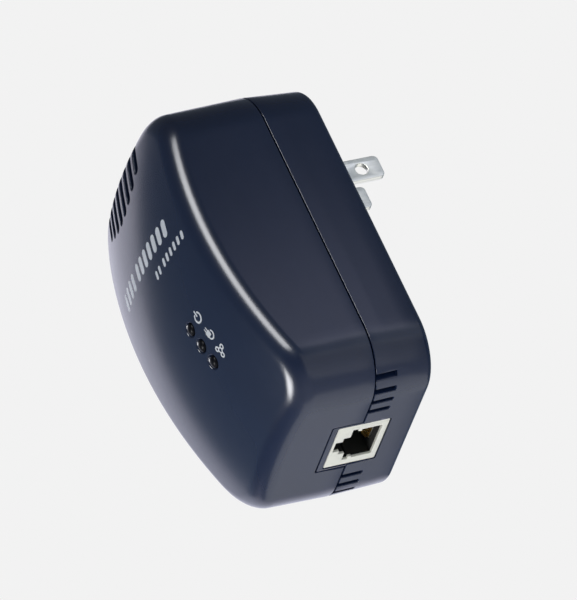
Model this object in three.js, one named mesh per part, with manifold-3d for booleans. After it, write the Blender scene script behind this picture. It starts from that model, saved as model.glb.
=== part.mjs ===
// A plug-in powerline Ethernet adapter with two flat mains blades, in millimetres, +Z up.
//
// The origin is midway between the blades, on the flat plug face that meets the wall plate.
// The blades point along +Y, the front face looks along -Y, and +X is to the right of a reader
// of the front face. Heights measured from the middle of the body are called w, so z = MID_Z + w.

import * as THREE from 'three';
import { mergeVertices } from 'three/addons/utils/BufferGeometryUtils.js';
import Module from 'manifold-3d';

const wasm = await Module();
wasm.setup();

// ---------------------------------------------------------------- driving dimensions

const GAP = 0.3; // clearance between pieces that touch in the real adapter

const BODY = { width: 61.4, height: 87.8, corner: 13, wall: 2.2 };
const MID_Z = -26.7; // middle of the body's height, below the blades
const SEAM_Y = -18.3; // parting plane of the two covers
const REAR_Y = -3; // flat back of the rear cover
const REAR = { draft: 0.07, round: 2 };

// The front face is an arch from top to bottom whose sides fall away towards the long edges.
const FRONT = {
  crestY: -50.8,
  crestW: 6.1,
  archRadius: 113.5,
  sideFall: 4.27,
  sideHalf: 30,
  sidePower: 2.15,
  draft: 0.02,
  round: 4,
};

const TONGUE = { inset: 1.25, reach: 1.6 }; // the rear cover's lip inside the front cover
const PLINTH = { width: 34, height: 22, corner: 6 }; // raised plug face around the blades
const VENT = { count: 8, pitch: 3.89, width: 2.2, bottomW: 30.4, endRise: 3.6, backY: -36 };
const SLOT = { firstX: 13.5, pitch: 3.7, perSide: 4, width: 1.4, backY: -12.6, topZ: -64.6 };

const BLADE = {
  spacing: 12.7,
  thickness: 1.5,
  width: 6.35,
  length: 17.4,
  holeRadius: 1.6,
  holeY: 12.1,
  tipRound: 1.3,
  shoulderWidth: 9,
  tailWidth: 3,
  tailY: -11.5,
};

const JACK = {
  width: 16.28,
  frontY: -24.3,
  backY: -10.8,
  mouthZ: -70.3,
  length: 16,
  depth: 13,
};
// The socket's outline as [width, height] steps, from the latch notch at the front to the back.
const JACK_STEPS = [
  [3.8, 1.8],
  [6.5, 1.8],
  [11.7, 7.6],
];
const JACK_LIP = 0.8; // frame in front of the latch notch
const POCKET = { halfX: 9.2, frontY: -26.2, backY: -9.6, frontDepth: 1.5, backDepth: 0.5 };

const CONTACT = { count: 8, pitch: 1.02, wire: 0.4, pivotRise: 3.2, reach: 2.6, tipRise: 11 };

const POST = { x: 22.5, w: 34, radius: 3.75, boreRadius: 1.7 };
const SCREW = { seatY: -16, headRadius: 2.7, headHeight: 2, boreRadius: 3, shaftRadius: 1.4, length: 10 };

const BOARD = { thickness: 1.6, halfX: 27, halfW: 40, neckX: 17.5, neckW: 29 };
const POWER_BOARD_Y = -9.5; // component face of the board behind the socket
const LOGIC_BOARD_Y = -26.2; // component face of the board in front of the socket

const INDICATOR = { x: 9.6, firstW: -9.4, pitch: 4.95, radius: 1.5, proud: 0.5 };
const LABEL = { width: 38, height: 40, midZ: -38, corner: 2, thickness: 0.25, recess: 0.35 };

const HEADER = { pins: 6, pitch: 2.54, w: 31 };

// Components on the two boards: where they stand, as [x, w], and their size, as [width, height, rise].
const POWER_PARTS = {
  fuse: { at: [12, 35], radius: 4.2, lift: 1, top: 8 },
  varistor: { at: [22, 24], across: 9, rise: 6.5, thickness: 4 },
  xCapacitor: { at: [-20, 21], size: [6, 13, 11] },
  choke: { at: [20, 13], size: [11, 13, 10], window: 3 },
  bridge: { at: [-20, 7], size: [6.4, 8.4, 3.3] },
  bulkCapacitor: { at: [21, -15], radius: 5.2, length: 17 },
  supplyChip: { at: [0, -3], size: [6.4, 9.4, 3.3] },
  transformer: { at: [0, 12], core: [19, 5, 13.6], window: [13.6, 6, 8.4], winding: [12.9, 12, 7.6] },
  optocoupler: { at: [0, -14], size: [6.4, 4.6, 3.3] },
  yCapacitor: { at: [-9.5, -4], across: 7, rise: 5, thickness: 3 },
  diode: { at: [9.5, -4], radius: 2.4, length: 9 },
  outputCapacitor: { at: [12.5, -28], radius: 4, length: 12 },
  outputInductor: { at: [22.5, -21], flange: 4, core: 2.6, rise: 9, rim: 1.6 },
  coupling: { at: [-22, -21.5], size: [7, 9, 7] },
};
const LOGIC_PARTS = {
  powerlineChip: { at: [-10, 8], size: [20, 20, 1.4] },
  phyChip: { at: [-12, -14], size: [10, 10, 1.2] },
  analogChip: { at: [14, 12], size: [7, 7, 1.1] },
  memoryChip: { at: [14, 24], size: [4, 5, 1.5] },
  transformer: { at: [0, -27], size: [13, 7, 5.4] },
  crystal: { at: [14, 1], size: [11, 4.6, 3.6] },
  filterInductor: { at: [22, -8], flange: 3, core: 2, rise: 4, rim: 0.8 },
  led: { width: 1.6, height: 3.2, rise: 1.1 },
};

const CORNER_STEPS = 5;
const LONG_STEPS = 9;
const SHORT_STEPS = 6;
const ROUND_STEPS = 4;
const FACE_SCALES = [0.8, 0.55, 0.28];
const CURVE_SEGMENTS = 16;

const FINISHES = {
  housing: { color: 0x262c42, roughness: 0.42, metalness: 0 },
  ivory: { color: 0xe8e4d0, roughness: 0.5, metalness: 0 },
  nickel: { color: 0xc8c8bc, roughness: 0.32, metalness: 1 },
  steel: { color: 0x9a9da2, roughness: 0.4, metalness: 1 },
  gold: { color: 0xd4af5a, roughness: 0.28, metalness: 1 },
  label: { color: 0xb9bcc2, roughness: 0.55, metalness: 0 },
  smoke: { color: 0x2b2b30, roughness: 0.12, metalness: 0 },
  board: { color: 0x1f5a36, roughness: 0.5, metalness: 0 },
  black: { color: 0x17171a, roughness: 0.5, metalness: 0 },
  sleeve: { color: 0x20305c, roughness: 0.35, metalness: 0 },
  ferrite: { color: 0x34343a, roughness: 0.6, metalness: 0 },
  copper: { color: 0xb4673a, roughness: 0.4, metalness: 1 },
  yellow: { color: 0xd9b23c, roughness: 0.5, metalness: 0 },
  blue: { color: 0x2f5fb0, roughness: 0.45, metalness: 0 },
  orange: { color: 0xc9702c, roughness: 0.5, metalness: 0 },
  white: { color: 0xe6e6e0, roughness: 0.5, metalness: 0 },
};

// ---------------------------------------------------------------- solids and scene helpers

const group = new THREE.Group();

/** Turns a closed three.js geometry into a solid that can be joined and cut. */
function solid(geometry) {
  const bare = geometry.clone();
  bare.deleteAttribute('normal');
  bare.deleteAttribute('uv');
  const merged = mergeVertices(bare, 1e-4);
  const mesh = new wasm.Mesh({
    numProp: 3,
    vertProperties: Float32Array.from(merged.attributes.position.array),
    triVerts: Uint32Array.from(merged.index.array),
  });
  return new wasm.Manifold(mesh);
}

function unite(solids) {
  return solids.reduce((whole, piece) => whole.add(piece));
}

function cutAll(body, cutters) {
  return cutters.reduce((rest, cutter) => rest.subtract(cutter), body);
}

/** Adds one named piece to the adapter, from a solid. */
function addPart(name, shape, finish) {
  const { vertProperties, triVerts } = shape.getMesh();
  const geometry = new THREE.BufferGeometry();
  geometry.setAttribute('position', new THREE.BufferAttribute(vertProperties, 3));
  geometry.setIndex(new THREE.BufferAttribute(triVerts, 1));
  geometry.computeVertexNormals();
  const mesh = new THREE.Mesh(geometry, new THREE.MeshStandardMaterial(FINISHES[finish]));
  mesh.name = name;
  group.add(mesh);
}

/** A box between two corners. */
function block([x0, y0, z0], [x1, y1, z1]) {
  const geometry = new THREE.BoxGeometry(x1 - x0, y1 - y0, z1 - z0);
  geometry.translate((x0 + x1) / 2, (y0 + y1) / 2, (z0 + z1) / 2);
  return solid(geometry);
}

const PRISM_AXES = {
  x: [new THREE.Vector3(0, 1, 0), new THREE.Vector3(0, 0, 1), new THREE.Vector3(1, 0, 0)],
  y: [new THREE.Vector3(1, 0, 0), new THREE.Vector3(0, 0, 1), new THREE.Vector3(0, -1, 0)],
  z: [new THREE.Vector3(1, 0, 0), new THREE.Vector3(0, 1, 0), new THREE.Vector3(0, 0, 1)],
};

/** Extrudes a shape along an axis between two places on it. */
function prism(shape, axis, from, to) {
  const geometry = new THREE.ExtrudeGeometry(shape, {
    depth: to - from,
    bevelEnabled: false,
    curveSegments: CURVE_SEGMENTS / 4,
  });
  geometry.applyMatrix4(new THREE.Matrix4().makeBasis(...PRISM_AXES[axis]));
  const start = axis === 'y' ? to : from;
  geometry.translate(axis === 'x' ? start : 0, axis === 'y' ? start : 0, axis === 'z' ? start : 0);
  return solid(geometry);
}

/** A rectangle with rounded corners, centred on (cx, cy). */
function roundedRectangle(width, height, radius, cx = 0, cy = 0) {
  const [left, right, low, high] = [cx - width / 2, cx + width / 2, cy - height / 2, cy + height / 2];
  const shape = new THREE.Shape();
  shape.absarc(right - radius, low + radius, radius, -Math.PI / 2, 0);
  shape.absarc(right - radius, high - radius, radius, 0, Math.PI / 2);
  shape.absarc(left + radius, high - radius, radius, Math.PI / 2, Math.PI);
  shape.absarc(left + radius, low + radius, radius, Math.PI, 1.5 * Math.PI);
  shape.closePath();
  return shape;
}

/** A turned piece about an axis parallel to Y or Z, from [radius, place along the axis] points. */
function turned(profile, axis, [cx, cy, cz]) {
  const points = profile.map(([radius, along]) => new THREE.Vector2(radius, along));
  const geometry = new THREE.LatheGeometry(points, CURVE_SEGMENTS);
  if (axis === 'z') {
    geometry.rotateX(Math.PI / 2);
  }
  geometry.translate(cx, cy, cz);
  return solid(geometry);
}

function rod(radius, from, to, axis, centre) {
  const profile = [
    [0, from],
    [radius, from],
    [radius, to],
    [0, to],
  ];
  return turned(profile, axis, centre);
}

// ---------------------------------------------------------------- the body's outer shape

/** Points along a quarter turn about a corner's centre. */
function quarter(cx, cw, radius, startAngle) {
  return Array.from({ length: CORNER_STEPS + 1 }, (_, i) => {
    const angle = startAngle + (i / CORNER_STEPS) * (Math.PI / 2);
    return [cx + radius * Math.cos(angle), cw + radius * Math.sin(angle)];
  });
}

/** Points strictly between two others. */
function between(start, end, steps) {
  return Array.from({ length: steps - 1 }, (_, i) => {
    const t = (i + 1) / steps;
    return [start[0] + (end[0] - start[0]) * t, start[1] + (end[1] - start[1]) * t];
  });
}

/** The body's outline moved in by an inset, as [x, w] points, always with the same count. */
function outline(inset) {
  const cx = BODY.width / 2 - BODY.corner;
  const cw = BODY.height / 2 - BODY.corner;
  const radius = BODY.corner - inset;
  const corners = [
    quarter(cx, cw, radius, 0),
    quarter(-cx, cw, radius, Math.PI / 2),
    quarter(-cx, -cw, radius, Math.PI),
    quarter(cx, -cw, radius, 1.5 * Math.PI),
  ];
  return corners.flatMap((corner, i) => {
    const next = corners[(i + 1) % corners.length];
    const steps = i % 2 === 0 ? SHORT_STEPS : LONG_STEPS;
    return [...corner, ...between(corner.at(-1), next[0], steps)];
  });
}

/** How far the wall has leaned in at a place behind or in front of the parting plane. */
function draftAt(y) {
  return y > SEAM_Y ? REAR.draft * (y - SEAM_Y) : FRONT.draft * (SEAM_Y - y);
}

/** One ring of the body's wall; yAt gives the ring's place along Y at each point. */
function wallRing(inset, yAt) {
  return outline(inset).map(([x, w], i) => {
    const y = yAt(x, w);
    const [drawnX, drawnW] = outline(inset + draftAt(y))[i];
    return new THREE.Vector3(drawnX, y, MID_Z + drawnW);
  });
}

/** A closed solid through rings listed from back to front. */
function loft(rings) {
  const count = rings[0].length;
  const centreOf = (ring) => ring.reduce((sum, p) => sum.add(p), new THREE.Vector3()).divideScalar(count);
  const points = [...rings.flat(), centreOf(rings[0]), centreOf(rings.at(-1))];
  const backCentre = points.length - 2;
  const frontCentre = points.length - 1;
  const lastRing = (rings.length - 1) * count;
  const indices = [];
  for (let i = 0; i < count; i += 1) {
    const next = (i + 1) % count;
    indices.push(backCentre, next, i);
    for (let ring = 0; ring < lastRing; ring += count) {
      indices.push(ring + i, ring + next, ring + count + next);
      indices.push(ring + i, ring + count + next, ring + count + i);
    }
    indices.push(frontCentre, lastRing + i, lastRing + next);
  }
  const geometry = new THREE.BufferGeometry().setFromPoints(points);
  geometry.setIndex(indices);
  return solid(geometry);
}

/** Y of the front face, or of its inner copy, at a point of the outline. */
function frontY(x, w, inset = 0) {
  const arch = (w - FRONT.crestW) ** 2 / (2 * FRONT.archRadius);
  const fall = FRONT.sideFall * Math.abs(x / FRONT.sideHalf) ** FRONT.sidePower;
  return FRONT.crestY + arch + fall + inset;
}

/** The front half of the body as a full solid, moved in by an inset and closed at backY. */
function frontVolume(inset, backY) {
  const round = FRONT.round - inset;
  const rings = [wallRing(inset, () => backY)];
  for (let step = 0; step <= ROUND_STEPS; step += 1) {
    const angle = (step / ROUND_STEPS) * (Math.PI / 2);
    const rise = round * (1 - Math.sin(angle));
    rings.push(wallRing(inset + round * (1 - Math.cos(angle)), (x, w) => frontY(x, w, inset) + rise));
  }
  const edge = rings.at(-1);
  for (const scale of FACE_SCALES) {
    rings.push(
      edge.map((point) => {
        const x = point.x * scale;
        const w = (point.z - MID_Z) * scale;
        return new THREE.Vector3(x, frontY(x, w, inset), MID_Z + w);
      }),
    );
  }
  return loft(rings);
}

/** The rear half of the body as a full solid, moved in by an inset and closed at frontY. */
function rearVolume(inset, openY) {
  const backY = REAR_Y - inset;
  const round = Math.max(REAR.round - inset, 0.4);
  const rings = [];
  for (let step = ROUND_STEPS; step >= 0; step -= 1) {
    const angle = (step / ROUND_STEPS) * (Math.PI / 2);
    const y = backY - round * (1 - Math.sin(angle));
    rings.push(wallRing(inset + round * (1 - Math.cos(angle)), () => y));
  }
  rings.push(wallRing(inset, () => openY));
  return loft(rings);
}

/** A straight band of the body's outline between two places along Y. */
function band(inset, backY, frontEndY) {
  return loft([wallRing(inset, () => backY), wallRing(inset, () => frontEndY)]);
}

const POSTS = [
  [POST.x, MID_Z + POST.w],
  [-POST.x, MID_Z + POST.w],
  [-POST.x, MID_Z - POST.w],
  [POST.x, MID_Z - POST.w],
];

/** The opening that the socket shows through, and the pocket around it with the given depth. */
function jackOpening(depth) {
  const halfX = JACK.width / 2 + GAP;
  const outside = -BODY.height;
  const floorZ = MID_Z - BODY.height / 2 + depth;
  const hole = block([-halfX, JACK.frontY - GAP, outside], [halfX, JACK.backY + GAP, SLOT.topZ]);
  const pocket = block([-POCKET.halfX, POCKET.frontY, outside], [POCKET.halfX, POCKET.backY, floorZ]);
  return [hole, pocket];
}

/** Cooling slots in the rear cover's bottom wall, on both sides of the socket. */
function bottomSlots() {
  const cutters = [];
  for (const side of [-1, 1]) {
    for (let i = 0; i < SLOT.perSide; i += 1) {
      const x = side * (SLOT.firstX + i * SLOT.pitch);
      const from = [x - SLOT.width / 2, SEAM_Y - TONGUE.reach - GAP, -BODY.height];
      cutters.push(block(from, [x + SLOT.width / 2, SLOT.backY, SLOT.topZ]));
    }
  }
  return cutters;
}

/** Cooling slots that run up the front face and over its top edge; the outer ones start higher. */
function topVents() {
  const top = MID_Z + BODY.height;
  const halfRow = ((VENT.count - 1) / 2) * VENT.pitch;
  return Array.from({ length: VENT.count }, (_, i) => {
    const x = i * VENT.pitch - halfRow;
    const low = MID_Z + VENT.bottomW + VENT.endRise * (x / halfRow) ** 2;
    const shape = roundedRectangle(VENT.width, top - low, VENT.width / 2 - 0.01, x, (top + low) / 2);
    return prism(shape, 'y', 2 * FRONT.crestY, VENT.backY);
  });
}

/** Middle of one indicator window, counted from the top. */
function indicatorCentre(index) {
  const w = INDICATOR.firstW - index * INDICATOR.pitch;
  return [INDICATOR.x, frontY(INDICATOR.x, w), MID_Z + w];
}

function indicatorHoles() {
  return [0, 1, 2].map((index) => {
    const [x, , z] = indicatorCentre(index);
    return rod(INDICATOR.radius + GAP, 2 * FRONT.crestY, LOGIC_BOARD_Y, 'y', [x, 0, z]);
  });
}

function makeFrontCover() {
  const seam = SEAM_Y - GAP / 2;
  const outer = frontVolume(0, seam);
  const inner = frontVolume(BODY.wall, SEAM_Y + 1);
  const rebate = band(TONGUE.inset - GAP, SEAM_Y + 1, SEAM_Y - TONGUE.reach - GAP);
  const shell = cutAll(outer, [inner, rebate]);
  const core = frontVolume(BODY.wall / 2, seam);
  const posts = POSTS.map(([x, z]) => {
    const post = rod(POST.radius, 2 * FRONT.crestY, seam - GAP, 'y', [x, 0, z]).intersect(core);
    return post.subtract(rod(POST.boreRadius, SCREW.seatY - SCREW.length - 1, seam + 1, 'y', [x, 0, z]));
  });
  const cutters = [...jackOpening(POCKET.frontDepth), ...topVents(), ...indicatorHoles()];
  const cover = cutAll(unite([shell, ...posts]), cutters);
  addPart('front_cover', cover, 'housing');
}

function makeRearCover() {
  const seam = SEAM_Y + GAP / 2;
  const plinth = prism(
    roundedRectangle(PLINTH.width, PLINTH.height, PLINTH.corner),
    'y',
    REAR_Y - BODY.wall / 2,
    0,
  );
  const tongue = band(TONGUE.inset, SEAM_Y + 1, SEAM_Y - TONGUE.reach);
  const outer = unite([rearVolume(0, seam), plinth, tongue]);
  const shell = outer.subtract(rearVolume(BODY.wall, SEAM_Y - 2 * TONGUE.reach));
  const wallMiddle = REAR_Y - BODY.wall / 2;
  const posts = POSTS.map(([x, z]) => rod(POST.radius, seam, wallMiddle, 'y', [x, 0, z]));
  const screwHoles = POSTS.flatMap(([x, z]) => [
    rod(SCREW.boreRadius, SCREW.seatY, 1, 'y', [x, 0, z]),
    rod(POST.boreRadius, 2 * SEAM_Y, 1, 'y', [x, 0, z]),
  ]);
  const bladeSlots = bladePlaces().map((x) => {
    const halfX = BLADE.thickness / 2 + GAP;
    const halfZ = BLADE.width / 2 + GAP;
    return block([x - halfX, 2 * REAR_Y - BODY.wall, -halfZ], [x + halfX, 1, halfZ]);
  });
  const labelRecess = prism(labelShape(2 * GAP), 'y', REAR_Y - LABEL.recess, 1);
  const openings = [...jackOpening(POCKET.backDepth), ...bottomSlots()];
  const cutters = [...screwHoles, ...bladeSlots, labelRecess, ...openings];
  addPart('rear_cover', cutAll(unite([shell, ...posts]), cutters), 'housing');
}

function labelShape(margin) {
  return roundedRectangle(LABEL.width + margin, LABEL.height + margin, LABEL.corner, 0, LABEL.midZ);
}

function makeLabel() {
  const back = REAR_Y - LABEL.recess + 0.05;
  addPart('rating_label', prism(labelShape(0), 'y', back, back + LABEL.thickness), 'label');
}

// ---------------------------------------------------------------- plug blades and screws

function bladePlaces() {
  return [-BLADE.spacing / 2, BLADE.spacing / 2];
}

const SHOULDER_Y = [REAR_Y - BODY.wall - GAP, POWER_BOARD_Y + BOARD.thickness + GAP];

/** A blade's side view in Y and Z: tip, shoulder behind the cover's wall, and soldered tail. */
function bladeShape() {
  const half = BLADE.width / 2;
  const shoulder = BLADE.shoulderWidth / 2;
  const tail = BLADE.tailWidth / 2;
  const round = BLADE.tipRound;
  const shape = new THREE.Shape();
  shape.moveTo(BLADE.tailY, -tail);
  shape.lineTo(SHOULDER_Y[1], -tail);
  shape.lineTo(SHOULDER_Y[1], -shoulder);
  shape.lineTo(SHOULDER_Y[0], -shoulder);
  shape.lineTo(SHOULDER_Y[0], -half);
  shape.absarc(BLADE.length - round, -half + round, round, -Math.PI / 2, 0);
  shape.absarc(BLADE.length - round, half - round, round, 0, Math.PI / 2);
  shape.lineTo(SHOULDER_Y[0], half);
  shape.lineTo(SHOULDER_Y[0], shoulder);
  shape.lineTo(SHOULDER_Y[1], shoulder);
  shape.lineTo(SHOULDER_Y[1], tail);
  shape.lineTo(BLADE.tailY, tail);
  shape.closePath();
  const hole = new THREE.Path();
  hole.absarc(BLADE.holeY, 0, BLADE.holeRadius, 0, 2 * Math.PI);
  shape.holes.push(hole);
  return shape;
}

function makeBlades() {
  const names = ['blade_left', 'blade_right'];
  bladePlaces().forEach((x, i) => {
    const half = BLADE.thickness / 2;
    addPart(names[i], prism(bladeShape(), 'x', x - half, x + half), 'nickel');
  });
}

/** The insulating plate that keeps the blades' shoulders apart behind the cover's wall. */
function makeBladeHolder() {
  const [backY, frontEndY] = SHOULDER_Y;
  const plate = prism(roundedRectangle(PLINTH.width - 4, 15, 2), 'y', frontEndY, backY);
  const slots = bladePlaces().map((x) => {
    const halfX = BLADE.thickness / 2 + GAP;
    const halfZ = BLADE.shoulderWidth / 2 + GAP;
    return block([x - halfX, frontEndY - 1, -halfZ], [x + halfX, backY + 1, halfZ]);
  });
  addPart('blade_holder', cutAll(plate, slots), 'white');
}

function makeScrews() {
  const { seatY, headRadius, headHeight, shaftRadius, length } = SCREW;
  const underHead = seatY + 0.05;
  const profile = [
    [0, underHead - length],
    [0.4, underHead - length],
    [shaftRadius, underHead - length + 2],
    [shaftRadius, underHead],
    [headRadius, underHead],
    [headRadius, underHead + 0.6 * headHeight],
    [0.7 * headRadius, underHead + headHeight],
    [0, underHead + headHeight],
  ];
  const driveHalf = 0.3;
  const driveReach = 0.55 * headRadius;
  const driveY = underHead + 0.4 * headHeight;
  POSTS.forEach(([x, z], i) => {
    const arms = [
      [driveHalf, driveReach],
      [driveReach, driveHalf],
    ].map(([halfX, halfZ]) => block([x - halfX, driveY, z - halfZ], [x + halfX, 0, z + halfZ]));
    addPart(`case_screw_${i + 1}`, cutAll(turned(profile, 'y', [x, 0, z]), arms), 'steel');
  });
}

// ---------------------------------------------------------------- network socket

/** The socket's mouth in X and Y, built from steps that widen towards the back. */
function jackMouthShape() {
  const right = [];
  let y = JACK.frontY + JACK_LIP;
  for (const [width, height] of JACK_STEPS) {
    right.push([width / 2, y]);
    y += height;
    right.push([width / 2, y]);
  }
  const left = right.map(([x, place]) => [-x, place]).reverse();
  return new THREE.Shape([...right, ...left].map(([x, place]) => new THREE.Vector2(x, place)));
}

const CONTACT_WALL_Y = JACK.frontY + JACK_LIP + JACK_STEPS.reduce((sum, [, height]) => sum + height, 0);
const CONTACT_ROW = (CONTACT.count - 1) * CONTACT.pitch;
const CONTACT_Y = CONTACT_WALL_Y + 0.1;

function makeJackHousing() {
  const halfX = JACK.width / 2;
  const frame = prism(
    roundedRectangle(JACK.width, JACK.backY - JACK.frontY, 0.4, 0, (JACK.frontY + JACK.backY) / 2),
    'z',
    JACK.mouthZ,
    JACK.mouthZ + JACK.length,
  );
  const mouth = prism(jackMouthShape(), 'z', JACK.mouthZ - 1, JACK.mouthZ + JACK.depth);
  const springBay = block(
    [-CONTACT_ROW / 2 - 0.8, CONTACT_WALL_Y - 1, JACK.mouthZ + CONTACT.pivotRise - 0.9],
    [CONTACT_ROW / 2 + 0.8, CONTACT_WALL_Y + 1.15, JACK.mouthZ + JACK.depth],
  );
  const sideLatches = [-1, 1].map((side) => {
    const x = side * (halfX + 0.4);
    const from = [x - 0.7, -19.5, JACK.mouthZ + 4];
    return block(from, [x + 0.7, -15.5, JACK.mouthZ + 9]);
  });
  addPart('jack_housing', cutAll(frame, [mouth, springBay, ...sideLatches]), 'ivory');
}

/** Eight spring wires rooted at the socket's back wall, leaning into the plug's way. */
function makeContacts() {
  const pivotZ = JACK.mouthZ + CONTACT.pivotRise;
  const tipZ = JACK.mouthZ + CONTACT.tipRise;
  const half = CONTACT.wire / 2;
  for (let i = 0; i < CONTACT.count; i += 1) {
    const x = (i - (CONTACT.count - 1) / 2) * CONTACT.pitch;
    const bend = CONTACT_Y - CONTACT.reach;
    const path = new THREE.CatmullRomCurve3(
      [
        [CONTACT_Y + 0.3, pivotZ + 1.2],
        [CONTACT_Y, pivotZ - 0.1],
        [CONTACT_Y - 0.45, pivotZ],
        [bend + 0.5, tipZ - 2.2],
        [bend, tipZ - 0.9],
        [bend + 0.5, tipZ],
      ].map(([y, z]) => new THREE.Vector3(x, y, z)),
    );
    const section = new THREE.Shape([
      new THREE.Vector2(-half, -half),
      new THREE.Vector2(half, -half),
      new THREE.Vector2(half, half),
      new THREE.Vector2(-half, half),
    ]);
    const geometry = new THREE.ExtrudeGeometry(section, { steps: 10, extrudePath: path });
    addPart(`contact_spring_${i + 1}`, solid(geometry), 'gold');
  }
}

// ---------------------------------------------------------------- boards

/** Outline of a board that is narrower where the screw posts pass it, in X and Z. */
function boardShape(topW, bottomW) {
  const { halfX, neckX, neckW } = BOARD;
  const half = [
    [neckX, bottomW],
    [neckX, -neckW],
    [halfX, -neckW],
    [halfX, neckW],
    [neckX, neckW],
    [neckX, topW],
  ];
  const mirrored = half.map(([x, w]) => [-x, w]).reverse();
  return new THREE.Shape([...half, ...mirrored].map(([x, w]) => new THREE.Vector2(x, MID_Z + w)));
}

function makeBoards() {
  const power = prism(
    boardShape(BOARD.halfW, -BOARD.halfW),
    'y',
    POWER_BOARD_Y,
    POWER_BOARD_Y + BOARD.thickness,
  );
  const tailSlots = bladePlaces().map((x) => {
    const halfX = BLADE.thickness / 2 + GAP;
    const halfZ = BLADE.tailWidth / 2 + GAP;
    return block([x - halfX, POWER_BOARD_Y - 1, -halfZ], [x + halfX, 0, halfZ]);
  });
  addPart('power_board', cutAll(power, tailSlots), 'board');
  const logic = prism(
    boardShape(BOARD.halfW, -BOARD.halfW),
    'y',
    LOGIC_BOARD_Y,
    LOGIC_BOARD_Y + BOARD.thickness,
  );
  addPart('logic_board', logic, 'board');
}

/** The pin header on the power board and the socket on the logic board that take each other. */
function makeBoardLink() {
  const { pins, pitch } = HEADER;
  const half = (pins * pitch) / 2;
  const deep = pitch / 2;
  const pin = 0.32;
  const wall = 0.5;
  const z = MID_Z + HEADER.w;
  const powerFace = POWER_BOARD_Y - GAP;
  const logicBack = LOGIC_BOARD_Y + BOARD.thickness + GAP;
  const base = block([-half, powerFace - pitch, z - deep], [half, powerFace, z + deep]);
  const pinBars = Array.from({ length: pins }, (_, i) => {
    const x = (i - (pins - 1) / 2) * pitch;
    return block([x - pin, powerFace - 9, z - pin], [x + pin, powerFace - 2, z + pin]);
  });
  addPart('board_header', unite([base, ...pinBars]), 'black');
  const shell = block([-half, logicBack, z - deep], [half, logicBack + 8.5, z + deep]);
  const trough = block([-half + wall, logicBack + 1, z - 2 * pin], [half - wall, 0, z + 2 * pin]);
  addPart('board_socket', shell.subtract(trough), 'black');
}

// ---------------------------------------------------------------- electronic components

// A component stands on a board's component face and rises along -Y. Its place is [x, w].
const ON_POWER = POWER_BOARD_Y - GAP;
const ON_LOGIC = LOGIC_BOARD_Y - GAP;

/** A rectangular body that rises from a board, with legs down to the board. */
function boxed(face, [x, w], [width, height, rise], lift = 0) {
  const z = MID_Z + w;
  const from = [x - width / 2, face - lift - rise, z - height / 2];
  return block(from, [x + width / 2, face - lift, z + height / 2]);
}

/** A chip with rows of bent legs on two sides, or on all four. */
function chip(face, place, [width, height, rise], legsX, legsZ) {
  const [x, w] = place;
  const z = MID_Z + w;
  const lift = 0.4;
  const legReach = 0.9;
  const body = boxed(face, place, [width, height, rise], lift);
  const legY = face - lift - rise / 2;
  const legs = [];
  const addLeg = (cx, cz, halfX, halfZ, side, alongX) => {
    legs.push(block([cx - halfX, legY - 0.1, cz - halfZ], [cx + halfX, legY + 0.1, cz + halfZ]));
    const footX = alongX ? cx + side * (halfX - 0.1) : cx;
    const footZ = alongX ? cz : cz + side * (halfZ - 0.1);
    const thinX = alongX ? 0.1 : halfX;
    const thinZ = alongX ? halfZ : 0.1;
    legs.push(block([footX - thinX, legY - 0.1, footZ - thinZ], [footX + thinX, face, footZ + thinZ]));
  };
  for (const side of [-1, 1]) {
    for (let i = 0; i < legsX; i += 1) {
      const pitch = (height - 1) / Math.max(legsX - 1, 1);
      const cz = z + (i - (legsX - 1) / 2) * pitch;
      addLeg(x + side * (width / 2), cz, legReach, 0.2, side, true);
    }
    for (let i = 0; i < legsZ; i += 1) {
      const pitch = (width - 1) / Math.max(legsZ - 1, 1);
      const cx = x + (i - (legsZ - 1) / 2) * pitch;
      addLeg(cx, z + side * (height / 2), 0.2, legReach, side, false);
    }
  }
  return unite([body, ...legs]);
}

/** A capacitor can with a rolled groove near its foot. */
function capacitorCan(radius, length, axis, centre) {
  const groove = 0.12 * radius;
  const profile = [
    [0, 0],
    [radius - 0.3, 0],
    [radius, 0.3],
    [radius, 0.12 * length],
    [radius - groove, 0.16 * length],
    [radius, 0.2 * length],
    [radius, length - 0.4],
    [radius - 0.4, length],
    [0, length],
  ];
  return turned(profile, axis, centre);
}

/** Two straight wire legs down to a board's face. */
function legs(face, [x, w], spacing, rise) {
  const z = MID_Z + w;
  return [-1, 1].map((side) => rod(0.3, face - rise, face, 'y', [x + (side * spacing) / 2, 0, z]));
}

/** A round disc that stands on edge above a board, on two wire legs. */
function standingDisc(face, { at, across, rise, thickness }, spacing) {
  const z = MID_Z + at[1];
  const outline2d = roundedRectangle(across, across, 0.49 * across, at[0], face - rise);
  const disc = prism(outline2d, 'z', z - thickness / 2, z + thickness / 2);
  return unite([disc, ...legs(face, at, spacing, rise - across / 4)]);
}

/** A bobbin: a round core between two flanges, which rises from a board. */
function bobbin(face, { at, flange, core, rise, rim }) {
  const profile = [
    [0, -rise],
    [flange, -rise],
    [flange, rim - rise],
    [core, rim - rise],
    [core, -rim],
    [flange, -rim],
    [flange, 0],
    [0, 0],
  ];
  return turned(profile, 'y', [at[0], face, MID_Z + at[1]]);
}

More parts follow.
